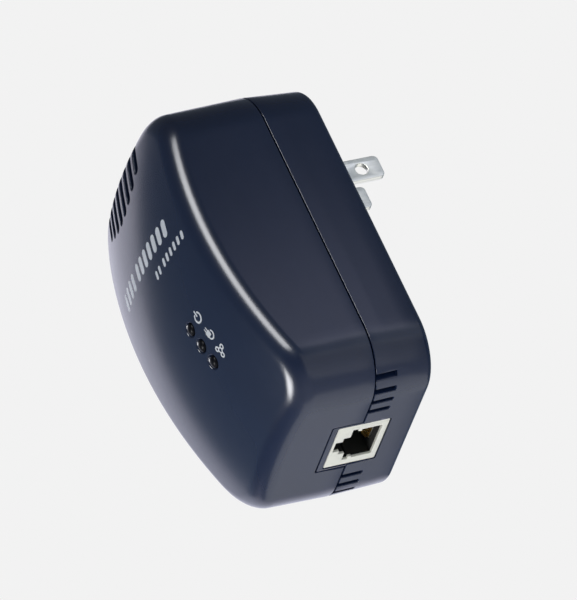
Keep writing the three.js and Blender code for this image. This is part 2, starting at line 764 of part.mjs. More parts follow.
function makeMainsInput() {
  const { fuse, varistor, xCapacitor, choke, bridge } = POWER_PARTS;
  const fuseCentre = [fuse.at[0], 0, MID_Z + fuse.at[1]];
  const can = rod(fuse.radius, ON_POWER - fuse.top, ON_POWER - fuse.lift, 'y', fuseCentre);
  addPart('fuse', unite([can, ...legs(ON_POWER, fuse.at, 5, 2 * fuse.lift)]), 'black');
  addPart('varistor', standingDisc(ON_POWER, varistor, 5), 'blue');

  const film = boxed(ON_POWER, xCapacitor.at, xCapacitor.size, 0.6);
  const foot = boxed(ON_POWER, xCapacitor.at, [1, 10, 1]);
  addPart('x_capacitor', unite([film, foot]), 'yellow');

  const windows = [-choke.window, choke.window].map((offset) => {
    const place = [choke.at[0], choke.at[1] + offset];
    return boxed(ON_POWER + 1, place, [choke.window, choke.window, choke.size[2] + 2]);
  });
  addPart('common_mode_choke', cutAll(boxed(ON_POWER, choke.at, choke.size), windows), 'ferrite');
  addPart('bridge_rectifier', chip(ON_POWER, bridge.at, bridge.size, 2, 0), 'black');
}

/** Two capacitor cans that lie along Z, one on each side of the power board. */
function addCanPair(name, { at, radius, length }) {
  [-1, 1].forEach((side, i) => {
    const centre = [side * at[0], ON_POWER - radius - 0.2, MID_Z + at[1]];
    addPart(`${name}_${i + 1}`, capacitorCan(radius, length, 'z', centre), 'sleeve');
  });
}

function makeTransformer() {
  const { at, core, window, winding } = POWER_PARTS.transformer;
  const margin = (core[2] - window[2]) / 2;
  const frame = boxed(ON_POWER, at, core).subtract(boxed(ON_POWER - margin, at, window));
  const middleLeg = boxed(ON_POWER - 2, at, [4.4, core[1], 9.6]);
  addPart('transformer_core', frame.add(middleLeg), 'ferrite');
  const bore = boxed(ON_POWER - 2, at, [5, core[1] + 2 * GAP, 9.6]);
  addPart('transformer_winding', boxed(ON_POWER - 3, at, winding).subtract(bore), 'copper');
}

function makePowerSupply() {
  const { bulkCapacitor, supplyChip, optocoupler, yCapacitor, diode } = POWER_PARTS;
  const { outputCapacitor, outputInductor, coupling } = POWER_PARTS;
  addCanPair('bulk_capacitor', bulkCapacitor);
  addPart('supply_chip', chip(ON_POWER, supplyChip.at, supplyChip.size, 4, 0), 'black');
  makeTransformer();
  addPart('optocoupler', chip(ON_POWER, optocoupler.at, optocoupler.size, 2, 0), 'white');
  addPart('y_capacitor', standingDisc(ON_POWER, yCapacitor, 4), 'orange');
  const diodeCentre = [diode.at[0], ON_POWER - diode.radius - GAP, MID_Z + diode.at[1]];
  const diodeBody = rod(diode.radius, -diode.length / 2, diode.length / 2, 'z', diodeCentre);
  addPart('rectifier_diode', diodeBody, 'black');
  addCanPair('output_capacitor', outputCapacitor);
  addPart('output_inductor', bobbin(ON_POWER, outputInductor), 'ferrite');
  addPart('coupling_transformer', chip(ON_POWER, coupling.at, coupling.size, 3, 0), 'yellow');
}

function makeLogicParts() {
  const { powerlineChip, phyChip, analogChip, memoryChip, transformer, crystal } = LOGIC_PARTS;
  addPart('powerline_chip', chip(ON_LOGIC, powerlineChip.at, powerlineChip.size, 7, 7), 'black');
  addPart('phy_chip', chip(ON_LOGIC, phyChip.at, phyChip.size, 4, 4), 'black');
  addPart('analog_chip', chip(ON_LOGIC, analogChip.at, analogChip.size, 3, 3), 'black');
  addPart('memory_chip', chip(ON_LOGIC, memoryChip.at, memoryChip.size, 4, 0), 'black');
  addPart('ethernet_transformer', chip(ON_LOGIC, transformer.at, transformer.size, 0, 6), 'black');
  const [width, height, rise] = crystal.size;
  const [x, w] = crystal.at;
  const can = roundedRectangle(width, height, 0.49 * height, x, MID_Z + w);
  addPart('crystal', prism(can, 'y', ON_LOGIC - rise, ON_LOGIC), 'steel');
  addPart('filter_inductor', bobbin(ON_LOGIC, LOGIC_PARTS.filterInductor), 'ferrite');
}

// ---------------------------------------------------------------- indicators

/** One moulding of three smoked rods that carry light from the board to the front face. */
function makeLightPipe() {
  const startY = ON_LOGIC - LOGIC_PARTS.led.rise - GAP;
  const rods = [0, 1, 2].map((index) => {
    const [x, y, z] = indicatorCentre(index);
    const domeBase = y + 0.2;
    const domeTop = y - INDICATOR.proud;
    const { radius } = INDICATOR;
    const profile = [
      [0, domeTop],
      [0.5 * radius, domeTop + 0.1],
      [0.85 * radius, (domeTop + domeBase) / 2],
      [radius, domeBase],
      [radius, startY],
      [0, startY],
    ];
    return turned(profile, 'y', [x, 0, z]);
  });
  const [x, , topZ] = indicatorCentre(0);
  const [, , bottomZ] = indicatorCentre(2);
  const bridgeY = startY - 3;
  const bridge = block([x - 0.8, bridgeY - 1.5, bottomZ], [x + 0.8, bridgeY, topZ]);
  addPart('light_pipe', unite([...rods, bridge]), 'smoke');
}

function makeLeds() {
  const { width, height, rise } = LOGIC_PARTS.led;
  ['led_power', 'led_powerline', 'led_ethernet'].forEach((name, index) => {
    const [x, , z] = indicatorCentre(index);
    const from = [x - width / 2, ON_LOGIC - rise, z - height / 2];
    addPart(name, block(from, [x + width / 2, ON_LOGIC, z + height / 2]), 'white');
  });
}

// ---------------------------------------------------------------- assembly

makeFrontCover();
makeRearCover();
makeLabel();
makeBlades();
makeBladeHolder();
makeScrews();
makeJackHousing();
makeContacts();
makeBoards();
makeBoardLink();
makeMainsInput();
makePowerSupply();
makeLogicParts();
makeLightPipe();
makeLeds();

export default group;
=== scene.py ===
"""The looks of a plug-in powerline adapter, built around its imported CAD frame.

Shapes are worked out in millimetres in the frame's own axes: +Y into the wall, +Z up, and the
front face looks along -Y. Heights measured from the middle of the body are called w.
"""

import math

import bmesh
import bpy
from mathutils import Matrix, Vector


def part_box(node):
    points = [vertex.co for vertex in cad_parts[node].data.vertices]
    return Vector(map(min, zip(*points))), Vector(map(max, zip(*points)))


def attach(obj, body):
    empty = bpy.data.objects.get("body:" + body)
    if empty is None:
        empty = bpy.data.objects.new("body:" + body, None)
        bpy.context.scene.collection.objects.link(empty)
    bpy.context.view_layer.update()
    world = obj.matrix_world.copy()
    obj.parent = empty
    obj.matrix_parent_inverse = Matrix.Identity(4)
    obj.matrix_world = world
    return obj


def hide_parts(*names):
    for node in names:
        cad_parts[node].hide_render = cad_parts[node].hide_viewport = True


MM = 0.001
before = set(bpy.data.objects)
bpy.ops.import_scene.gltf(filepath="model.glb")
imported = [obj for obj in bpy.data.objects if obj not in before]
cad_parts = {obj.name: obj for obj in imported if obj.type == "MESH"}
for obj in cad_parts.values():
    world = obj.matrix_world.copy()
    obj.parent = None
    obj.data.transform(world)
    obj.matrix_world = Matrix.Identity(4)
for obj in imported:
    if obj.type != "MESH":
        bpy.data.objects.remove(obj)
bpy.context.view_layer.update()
scene = bpy.context.scene


def box_mm(node):
    """Lowest and highest corner of a CAD node, in millimetres."""
    low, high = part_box(node)
    return low / MM, high / MM


# ---------------------------------------------------------------- sizes, from the frame where it has them

FRONT_LOW, FRONT_HIGH = box_mm("front_cover")
LABEL_LOW, LABEL_HIGH = box_mm("rating_label")
LABEL_SIZE = (LABEL_HIGH.x - LABEL_LOW.x, LABEL_HIGH.z - LABEL_LOW.z)
LABEL_CENTRE = (0, (LABEL_LOW.z + LABEL_HIGH.z) / 2)
JACK_LOW, JACK_HIGH = box_mm("jack_housing")
BLADE_LOW, BLADE_HIGH = box_mm("blade_right")
HOLDER_LOW = box_mm("blade_holder")[0]
PIPE_LOW, PIPE_HIGH = box_mm("light_pipe")
SCREW_NODES = [f"case_screw_{i}" for i in range(1, 5)]
SPRING_NODES = [f"contact_spring_{i}" for i in range(1, 9)]

GAP = 0.3
HALF_X = 30.7
HALF_W = 43.9
MID_Z = (FRONT_LOW.z + FRONT_HIGH.z) / 2
CORNER = 13
WALL = 2.2
SEAM_Y = FRONT_HIGH.y + GAP / 2
REAR_Y = -3.0
REAR_DRAFT = 0.07
REAR_ROUND = 1.6
REAR_BOTTOM_EASE = 0.3  # share of the draft that the rear cover's flat bottom keeps
SEAM_ROUND = 0.22

CREST_Y = FRONT_LOW.y
CREST_W = 6.1
ARCH_RADIUS = 113.5
SIDE_FALL = 4.27
SIDE_HALF = 30
SIDE_POWER = 2.15
FRONT_DRAFT = 0.02
FRONT_ROUND = 4.0

TONGUE_INSET = 1.25
TONGUE_REACH = 1.6
PLINTH = (34, 22, 6)
VENT_COUNT = 8
VENT_PITCH = 3.89
VENT_WIDTH = 2.2
VENT_BOTTOM_W = 30.4
VENT_END_RISE = 3.6
VENT_BACK_Y = -36
SLOT_FIRST_X = 13.5
SLOT_PITCH = 3.7
SLOTS_PER_SIDE = 4
SLOT_WIDTH = 1.4
SLOT_BACK_Y = -12.6
SURROUND_HALF_X = 8.95
SURROUND_Y = -26.0
SURROUND_SINK = 0.15
SURROUND_GAP = 0.4
NOTCH_DEPTH = 1.9
POST_RADIUS = 3.75
SCREW_HOLE_RADIUS = 3.0
SCREW_SEAT_Y = -16.0
INDICATOR_X = (PIPE_LOW.x + PIPE_HIGH.x) / 2
INDICATOR_RADIUS = (PIPE_HIGH.x - PIPE_LOW.x) / 2
BLADE_WIDTH = 6.35
BLADE_TIP_ROUND = 1.3
BLADE_HOLE_Y = 12.1
BLADE_HOLE_RADIUS = 1.6
BLADE_TAIL_WIDTH = 3.0
BLADE_SHOULDER_Y = (REAR_Y - WALL - GAP, HOLDER_LOW.y)
JACK_LIP = 0.8
JACK_DEPTH = 13
# The socket's mouth as (width, height) steps from the front to the back.
MOUTH_STEPS = [(3.8, 1.8), (6.5, 1.7), (12.4, 1.5), (10.6, 0.9), (11.8, 5.3)]
CARRIER_WALL = 0.3
SCREW_HEAD_HEIGHT = 2.0
SCREW_HEAD_EDGE = 0.5
SCREW_THREAD = 0.7
SCREW_THREAD_START = 2.2
SCREW_PLAIN_LENGTH = 2.4  # the part of the shank that has no thread, its tip included
SCREW_THREAD_RADIUS = 1.4
SCREW_CORE_RADIUS = 1.1
SCREW_NECK_RADIUS = 1.2
SCREW_TIP = (0.4, 2.0)  # its radius and its length
SCREW_BORE_RADIUS = 1.7
CROSS_ARM = (0.32, 1.5)  # half of its width and of its length
DOME_RISE = 0.5
DOME_SINK = 0.35  # how far below the face the dome starts
ICON_OFFSET_X = 5.2
MARK_SLANT = 0.1
MAIN_LINE = dict(start=(-16.3, 14.3), slope=-0.082, words=(4, 7), pitch=3.25, height=4.5, half_width=1.0)
SMALL_LINE = dict(start=(7.6, 6.9), slope=-0.02, words=(2, 6), pitch=2.15, height=2.2, half_width=0.55)
LABEL_BARS = (24, 30, 18, 27, 12)
LABEL_BAR_PITCH = 5.2
LABEL_BORDER = 1.2
MARK_WORD_GAP = 0.45
INK_TOP = 0.02
INK_BASE = -0.05
INDICATOR_COUNT = 3
INDICATOR_PITCH = (PIPE_HIGH.z - PIPE_LOW.z - 2 * INDICATOR_RADIUS) / (INDICATOR_COUNT - 1)
INDICATOR_ZS = [PIPE_HIGH.z - INDICATOR_RADIUS - i * INDICATOR_PITCH for i in range(INDICATOR_COUNT)]

CAMERA_PLACE = (1305.37, -688.82, -796.94 + MID_Z)
CAMERA_TURN = (121.006, 22.2854, 75.6227)  # degrees about X, Y and Z
CAMERA_LENS = 420
WORLD_LOW = (0.34, 0.46, 0.62)
WORLD_HIGH = (0.11, 0.12, 0.13)
BACKDROP = (0.888, 0.888, 0.888)

RUN_OUT = 3.0  # how far a slot's surface is known beyond its ends
ARC_STEPS = 8
LONG_STEPS = 44
SHORT_STEPS = 26
FILLET_STEPS = 10
SMALL_STEPS = 4  # steps of a small round
END_STEPS = 6  # steps of a slot's rounded corner
WELD = 1e-7
MOUTH_ROUND = 0.15
CUT_ABOVE = 1.5  # how far a cutter stands out of the surface
NOISE_RANGE = (0.3, 0.7)  # where most of a noise texture's values lie
SMOOTH_ANGLE = math.radians(32)
BEVEL_ANGLE = math.radians(35)
STROKE_STEP = 0.35


# ---------------------------------------------------------------- object helpers


def new_object(name, data):
    obj = bpy.data.objects.new(name, data)
    scene.collection.objects.link(obj)
    return obj


def set_smooth(mesh):
    mesh.shade_smooth()
    mesh.set_sharp_from_angle(angle=SMOOTH_ANGLE)


def mesh_object(name, points_mm, faces):
    """An object with a mesh whose points are given in millimetres."""
    mesh = bpy.data.meshes.new(name)
    mesh.from_pydata([[c * MM for c in p] for p in points_mm], [], faces)
    mesh.validate()
    set_smooth(mesh)
    return new_object(name, mesh)


def loop_faces(low, high, count):
    """Faces between two closed loops of points whose numbers start at low and at high."""
    following = [(i + 1) % count for i in range(count)]
    return [(low + i, low + n, high + n, high + i) for i, n in enumerate(following)]


def drop(obj):
    mesh = obj.data
    bpy.data.objects.remove(obj)
    bpy.data.meshes.remove(mesh)


def bake_modifiers(obj):
    """Replaces an object's mesh with its modified one."""
    depsgraph = bpy.context.evaluated_depsgraph_get()
    depsgraph.update()
    mesh = bpy.data.meshes.new_from_object(obj.evaluated_get(depsgraph))
    obj.modifiers.clear()
    obj.data = mesh


def combine(obj, others, operation):
    """Joins solids to an object, or cuts them from it."""
    for other in others:
        modifier = obj.modifiers.new("combine", "BOOLEAN")
        modifier.solver = "EXACT"
        modifier.operation = operation
        modifier.object = other
    bake_modifiers(obj)
    for other in others:
        drop(other)
    set_smooth(obj.data)


def fix_normals(obj, weld=None):
    """Turns a closed mesh's faces outwards; points closer than weld are joined first."""
    work = bmesh.new()
    work.from_mesh(obj.data)
    if weld:
        bmesh.ops.remove_doubles(work, verts=work.verts, dist=weld)
    bmesh.ops.recalc_face_normals(work, faces=work.faces)
    work.to_mesh(obj.data)
    work.free()
    set_smooth(obj.data)
    return obj


def merge_objects(name, objects):
    """One object that holds the meshes of several."""
    whole = bmesh.new()
    for obj in objects:
        whole.from_mesh(obj.data)
    mesh = bpy.data.meshes.new(name)
    whole.to_mesh(mesh)
    whole.free()
    for obj in objects:
        drop(obj)
    return new_object(name, mesh)


def finish_piece(obj, slot, material, *nodes):
    """Gives a piece its material, the fixed body, and the CAD nodes that it stands for."""
    obj.data.materials.clear()
    obj.data.materials.append(material)
    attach(obj, "adapter")
    if nodes:
        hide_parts(*nodes)


# ---------------------------------------------------------------- the body's outline and surfaces


def outline_with_normals():
    """The outline at the parting plane as (x, w, nx, nw), and the number of steps of each side.

    It runs anticlockwise seen from the front, from the middle of the lower right corner.
    """
    cx, cw = HALF_X - CORNER, HALF_W - CORNER
    centres = [(cx, -cw), (cx, cw), (-cx, cw), (-cx, -cw)]
    points, sides = [], []
    for side in range(4):
        base = side * math.pi / 2
        start, end = centres[side], centres[(side + 1) % 4]
        straight = LONG_STEPS if side % 2 == 0 else SHORT_STEPS
        angles = [base - math.pi / 4 * (1 - i / ARC_STEPS) for i in range(ARC_STEPS)]
        for angle in angles:
            points.append(rim_point(start, angle))
        for i in range(straight):
            t = i / straight
            centre = [a + (b - a) * t for a, b in zip(start, end)]
            points.append(rim_point(centre, base))
        for i in range(ARC_STEPS):
            points.append(rim_point(end, base + math.pi / 4 * i / ARC_STEPS))
        sides.append(straight + 2 * ARC_STEPS)
    return points, sides


def rim_point(centre, angle):
    nx, nw = math.cos(angle), math.sin(angle)
    return centre[0] + CORNER * nx, centre[1] + CORNER * nw, nx, nw


RIM, RIM_SIDES = outline_with_normals()


def draft_at(y):
    if y > SEAM_Y:
        return REAR_DRAFT * (y - SEAM_Y)
    return FRONT_DRAFT * (SEAM_Y - y)


def front_y(x, w):
    arch = (w - CREST_W) ** 2 / (2 * ARCH_RADIUS)
    return CREST_Y + arch + SIDE_FALL * abs(x / SIDE_HALF) ** SIDE_POWER


def behind_front(distance):
    """The front face, moved back along Y."""
    return lambda x, w: front_y(x, w) + distance


def bottom_draft(y):
    """The draft of the flat bottom, which is less than that of the other walls at the rear."""
    return draft_at(y) * (REAR_BOTTOM_EASE if y > SEAM_Y else 1.0)


def ring(inset, y_at):
    """One ring round the body. y_at is a place along Y, or gives it for a point of the outline."""
    points = []
    for x, w, nx, nw in RIM:
        y = y_at(x - nx * inset, w - nw * inset) if callable(y_at) else y_at
        draft = draft_at(y)
        draft_w = draft if nw > 0 else bottom_draft(y)
        px, pw = x - nx * (inset + draft), w - nw * (inset + draft_w)
        points.append((px, y_at(px, pw) if callable(y_at) else y, MID_Z + pw))
    return points


def face_grid(edge, y_at):
    """Points of a smooth patch inside a ring, as rows of indices into new points."""
    up, across = RIM_SIDES[0], RIM_SIDES[1]
    right = edge[: up + 1]
    top = edge[up : up + across + 1]
    left = edge[up + across : 2 * up + across + 1][::-1]
    bottom = (edge[2 * up + across :] + edge[:1])[::-1]
    rows = []
    for i in range(1, up):
        u = i / up
        row = []
        for j in range(1, across):
            v = j / across
            x, z = [
                (1 - v) * right[i][k] + v * left[i][k] + (1 - u) * bottom[j][k] + u * top[j][k]
                - (1 - u) * ((1 - v) * right[0][k] + v * left[0][k])
                - u * ((1 - v) * right[up][k] + v * left[up][k])
                for k in (0, 2)
            ]
            row.append((x, y_at(x, z - MID_Z), z))
        rows.append(row)
    return rows


def shell_object(name, rings, outer_y, inner_y, looks_back):
    """A closed shell through rings, with a patch inside the first ring and inside the last."""
    points = [p for one in rings for p in one]
    count = len(RIM)
    faces = []
    for start in range(0, count * (len(rings) - 1), count):
        for i in range(count):
            n = (i + 1) % count
            faces.append((start + i, start + count + i, start + count + n, start + n))
    up, across = RIM_SIDES[0], RIM_SIDES[1]
    for edge_start, y_at, turn in ((0, outer_y, False), (count * (len(rings) - 1), inner_y, True)):
        inner_rows = face_grid(rings[edge_start // count], y_at)
        first = len(points)
        points.extend(p for row in inner_rows for p in row)

        def index(i, j):
            if j == 0:
                return edge_start + i
            if i == up:
                return edge_start + up + j
            if j == across:
                return edge_start + 2 * up + across - i
            if i == 0:
                return edge_start + (2 * up + 2 * across - j) % count
            return first + (i - 1) * (across - 1) + j - 1

        for i in range(up):
            for j in range(across):
                cell = (index(i, j), index(i + 1, j), index(i + 1, j + 1), index(i, j + 1))
                faces.append(cell[::-1] if turn else cell)
    if looks_back:
        faces = [face[::-1] for face in faces]
    return mesh_object(name, points, faces)


def arc_steps(steps):
    """Angles from a face down to its wall."""
    return [math.pi / 2 * (1 - i / steps) for i in range(steps + 1)]


def quarter(steps):
    """Angles from zero to a right angle."""
    return [math.pi / 2 * i / steps for i in range(steps + 1)]


def seam_edge(y, towards):
    """Rings of a small round at the parting line, from the wall to the flat edge."""
    rings = []
    for angle in quarter(3):
        inset = SEAM_ROUND * (1 - math.cos(angle))
        rings.append(ring(inset, y + towards * SEAM_ROUND * (1 - math.sin(angle))))
    return rings


# ---------------------------------------------------------------- cutters with rounded mouths


def stadium(length_low, length_high, half_width, end_radius, steps):
    """The right half of a slot's outline as (along, side), from its low tip to its high tip."""
    right = []
    for angle in quarter(END_STEPS):
        side = half_width - end_radius + end_radius * math.sin(angle)
        right.append((length_low + end_radius * (1 - math.cos(angle)), side))
    for i in range(1, steps):
        t = i / steps
        low, high = length_low + end_radius, length_high - end_radius
        right.append((low + (high - low) * t, half_width))
    for angle in arc_steps(END_STEPS):
        side = half_width - end_radius + end_radius * math.sin(angle)
        right.append((length_high - end_radius * (1 - math.cos(angle)), side))
    return right


def cutter(name, outline_at, surface, round_radius, outside, depth):
    """A solid that cuts a hole whose mouth is rounded where it meets a surface.

    outline_at(offset) gives the right half of the hole's outline, grown by offset.
    surface(along, side, height) gives the point at a height above the surface.
    """
    levels = [(outside, round_radius), (0.0, round_radius)]
    for angle in quarter(SMALL_STEPS)[1:]:
        levels.append((-round_radius * math.sin(angle), round_radius * math.cos(angle) ** 2))
    levels[-1] = (-round_radius, 0.0)
    levels.append((-depth, 0.0))
    points, faces, loops = [], [], []
    for height, offset in levels:
        right = outline_at(offset)
        start = len(points)
        points.extend(surface(a, s, height) for a, s in right)
        points.extend(surface(a, -s, height) for a, s in right)
        loops.append((start, len(right)))
    count = loops[0][1]
    for (low, _), (high, _) in zip(loops, loops[1:]):
        for i in range(count - 1):
            faces.append((low + i, low + i + 1, high + i + 1, high + i))
            faces.append((low + count + i + 1, low + count + i, high + count + i, high + count + i + 1))
        faces.append((low + count, low, high, high + count))
        faces.append((low + count - 1, low + 2 * count - 1, high + 2 * count - 1, high + count - 1))
    for start, turn in ((loops[0][0], True), (loops[-1][0], False)):
        for i in range(count - 1):
            cell = (start + i, start + i + 1, start + count + i + 1, start + count + i)
            faces.append(cell[::-1] if turn else cell)
    return fix_normals(mesh_object(name, points, faces), WELD)


def top_profile(x, low_w):
    """The cover's outer line from a place on the front face over its top edge: (y, w, normal)."""
    line = []
    edge_w = HALF_W - FRONT_ROUND
    for i in range(31):
        w = low_w + (edge_w - low_w) * i / 30
        slope = (w - CREST_W) / ARCH_RADIUS
        line.append((front_y(x, w), w, Vector((-1, slope)).normalized()))
    base_y = front_y(x, edge_w)
    for angle in quarter(14)[1:]:
        w = edge_w + FRONT_ROUND * math.sin(angle)
        y = base_y + FRONT_ROUND * (1 - math.cos(angle))
        line.append((y, w - draft_at(y), Vector((-math.cos(angle), math.sin(angle)))))
    start_y = line[-1][0]
    for i in range(1, 9):
        y = start_y + (VENT_BACK_Y + RUN_OUT - start_y) * i / 8
        line.append((y, HALF_W - draft_at(y), Vector((0, 1))))
    return line


def top_vents():
    """Cutters for the slots that run over the top edge; the outer ones start higher."""
    cutters = []
    half_row = (VENT_COUNT - 1) / 2 * VENT_PITCH
    for i in range(VENT_COUNT):
        x = i * VENT_PITCH - half_row
        bottom_w = VENT_BOTTOM_W + VENT_END_RISE * (x / half_row) ** 2
        line = top_profile(x, bottom_w - RUN_OUT)
        lengths = [0.0]
        for a, b in zip(line, line[1:]):
            lengths.append(lengths[-1] + math.hypot(b[0] - a[0], b[1] - a[1]))

        def surface(along, side, height, x=x, line=line, lengths=lengths):
            k = 0
            while k < len(lengths) - 2 and lengths[k + 1] < along:
                k += 1
            t = (along - lengths[k]) / (lengths[k + 1] - lengths[k])
            (ya, wa, na), (yb, wb, nb) = line[k], line[k + 1]
            normal = na.lerp(nb, t)
            y = ya + (yb - ya) * t + normal.x * height
            w = wa + (wb - wa) * t + normal.y * height
            return x + side, y, MID_Z + w

        low, high = RUN_OUT, lengths[-1] - RUN_OUT

        def outline_at(offset, low=low, high=high):
            half = VENT_WIDTH / 2 + offset
            return stadium(low - offset, high + offset, half, half * 0.98, 34)

        cutters.append(cutter("vent", outline_at, surface, 2 * MOUTH_ROUND, CUT_ABOVE, WALL + 1.3))
    return cutters


def bottom_surface(along, side, height):
    """Outer face of the body's underside at a place along Y and X."""
    reach = max(abs(side) - (HALF_X - CORNER), 0.0)
    w = HALF_W - CORNER + math.sqrt(max(CORNER**2 - reach**2, 0.0)) - bottom_draft(along)
    return side, along, MID_Z - w - height


def flat_bottom(depth):
    """A flat surface at a depth below the bottom's middle stretch."""
    return lambda along, side, height: (side, along, MID_Z - HALF_W + depth - height)


def shifted(surface, offset_side):
    """A surface whose side coordinate is counted from another place."""
    return lambda along, side, height: surface(along, side + offset_side, height)


def rectangle_half(low, high, half_width, radius):
    return lambda offset: stadium(low - offset, high + offset, half_width + offset, radius + offset, 4)


def jack_hole(depth):
    """The opening for the socket, through the wall below a surface that is sunk by depth."""
    half_jack = (JACK_HIGH.x - JACK_LOW.x) / 2 + GAP
    outline = rectangle_half(JACK_LOW.y - GAP, JACK_HIGH.y + GAP, half_jack, 0.5)
    return cutter("jack_hole", outline, flat_bottom(depth), MOUTH_ROUND, depth + 0.5, WALL + 3)


def surround_notch():
    """The notch in the front cover that takes the rear cover's surround."""
    outline = rectangle_half(SURROUND_Y - SURROUND_GAP, JACK_HIGH.y, SURROUND_HALF_X + SURROUND_GAP, 0.6)
    return cutter("notch", outline, flat_bottom(0.0), MOUTH_ROUND, 2.0, NOTCH_DEPTH)


def surround_block():
    """The part of the rear cover that reaches past the seam, round the socket."""
    outline = rounded_outline(-SURROUND_HALF_X, SURROUND_HALF_X, SURROUND_Y, SEAM_Y + 1.3, 0.5)
    low_z = MID_Z - HALF_W + SURROUND_SINK
    block = extruded("surround", outline, "z", low_z, MID_Z - HALF_W + NOTCH_DEPTH - 0.2)
    return bevelled(block, 0.12, 2)


def bottom_slots():
    cutters = []
    for side in (-1, 1):
        for i in range(SLOTS_PER_SIDE):
            x = side * (SLOT_FIRST_X + i * SLOT_PITCH)
            outline_at = rectangle_half(SEAM_Y - 4, SLOT_BACK_Y, SLOT_WIDTH / 2, 0.3)
            surface = shifted(bottom_surface, x)
            cutters.append(cutter("slot", outline_at, surface, MOUTH_ROUND, CUT_ABOVE, WALL + 2.2))
    return cutters


def indicator_holes():
    holes = []
    for z in INDICATOR_ZS:

        def outline_at(offset):
            radius = INDICATOR_RADIUS + GAP * 0.6 + offset
            return stadium(-radius, radius, radius, radius, 1)

        def surface(along, side, height, z=z):
            x, w = INDICATOR_X + side, z + along - MID_Z
            return x, front_y(x, w) - height, z + along

        holes.append(cutter("indicator_hole", outline_at, surface, 0.35, CUT_ABOVE, WALL + 1.5))
    return holes


def disc_stack(name, profile, centre, segments=40):
    """A turned solid about a line along Y, from (radius, y) points whose ends are on the axis."""
    points = [(centre[0], profile[0][1], centre[1])]
    faces = []
    rows = profile[1:-1]
    for radius, y in rows:
        for i in range(segments):
            angle = 2 * math.pi * i / segments
            points.append((centre[0] + radius * math.cos(angle), y, centre[1] + radius * math.sin(angle)))
    points.append((centre[0], profile[-1][1], centre[1]))
    last = len(points) - 1
    for i in range(segments):
        n = (i + 1) % segments
        faces.append((0, 1 + i, 1 + n))
        for row in range(len(rows) - 1):
            a, b = 1 + row * segments, 1 + (row + 1) * segments
            faces.append((a + i, b + i, b + n, a + n))
        end = 1 + (len(rows) - 1) * segments
        faces.append((last, end + n, end + i))
    return fix_normals(mesh_object(name, points, faces))


def post_centres():
    centres = []
    for node in SCREW_NODES:
        low, high = box_mm(node)
        centres.append(((low.x + high.x) / 2, (low.z + high.z) / 2))
    return centres


# ---------------------------------------------------------------- covers


def make_front_cover(material):
    seam = SEAM_Y - GAP / 2
    rings = []
    for angle in arc_steps(FILLET_STEPS):
        inset = FRONT_ROUND * (1 - math.cos(angle))
        rise = FRONT_ROUND * (1 - math.sin(angle))
        rings.append(ring(inset, behind_front(rise)))
    start = ring(0, behind_front(FRONT_ROUND))
    for t in (0.25, 0.5, 0.75):
        rings.append(blend_rings(start, ring(0, seam - SEAM_ROUND), t))
    rings += seam_edge(seam, -1)
    rebate = TONGUE_INSET - GAP
    rings.append(ring(rebate, seam))
    rings.append(ring(rebate, seam - TONGUE_REACH - GAP))
    rings.append(ring(WALL, seam - TONGUE_REACH - GAP))
    inner_round = FRONT_ROUND - WALL
    for angle in arc_steps(5)[::-1]:
        inset = WALL + inner_round * (1 - math.cos(angle))
        rise = WALL + inner_round * (1 - math.sin(angle))
        rings.append(ring(inset, behind_front(rise)))
    shell = shell_object("front_shell", rings, front_y, behind_front(WALL), False)
    posts = []
    for x, z in post_centres():
        top = front_y(x, z - MID_Z) + WALL + 0.6
        bottom = seam - GAP
        profile = [(0, top), (POST_RADIUS, top), (POST_RADIUS, bottom), (0, bottom)]
        posts.append(disc_stack("post", profile, (x, z)))
    combine(shell, posts, "UNION")
    openings = [*top_vents(), surround_notch(), jack_hole(NOTCH_DEPTH), *indicator_holes()]
    combine(shell, openings, "DIFFERENCE")
    finish_piece(shell, "housing", material, "front_cover")


def blend_rings(a, b, t):
    return [tuple(p + (q - p) * t for p, q in zip(one, two)) for one, two in zip(a, b)]


def rounded_plate(name, width, height, corner, centre, y_back, y_front, edge):
    """A flat plate in the X and Z plane with rounded corners and a rounded front or back edge."""
    rings = []
    inward = math.copysign(edge, y_back - y_front)
    for offset, y in ((0, y_back), (0, y_front + inward), *plate_round(edge, y_front, inward)):
        half_x, half_z = width / 2 - offset, height / 2 - offset
        radius = max(corner - offset, 0.05)
        row = []
        for k in range(4):
            sx = 1 if k in (0, 3) else -1
            sz = 1 if k in (0, 1) else -1
            for i in range(9):
                angle = math.pi / 2 * (k + i / 8)
                x = centre[0] + sx * (half_x - radius) + radius * math.cos(angle)
                z = centre[1] + sz * (half_z - radius) + radius * math.sin(angle)
                row.append((x, y, z))
        rings.append(row)
    points = [p for row in rings for p in row]
    count = len(rings[0])
    faces = [tuple(range(count)), tuple(range(len(points) - count, len(points)))[::-1]]
    for start in range(0, count * (len(rings) - 1), count):
        faces += loop_faces(start, start + count, count)
    return fix_normals(mesh_object(name, points, faces))


def plate_round(edge, y_end, inward):
    """Offsets and places of a quarter round that ends at y_end."""
    angles = quarter(SMALL_STEPS)[1:]
    return [(edge * (1 - math.cos(a)), y_end + inward * (1 - math.sin(a))) for a in angles]


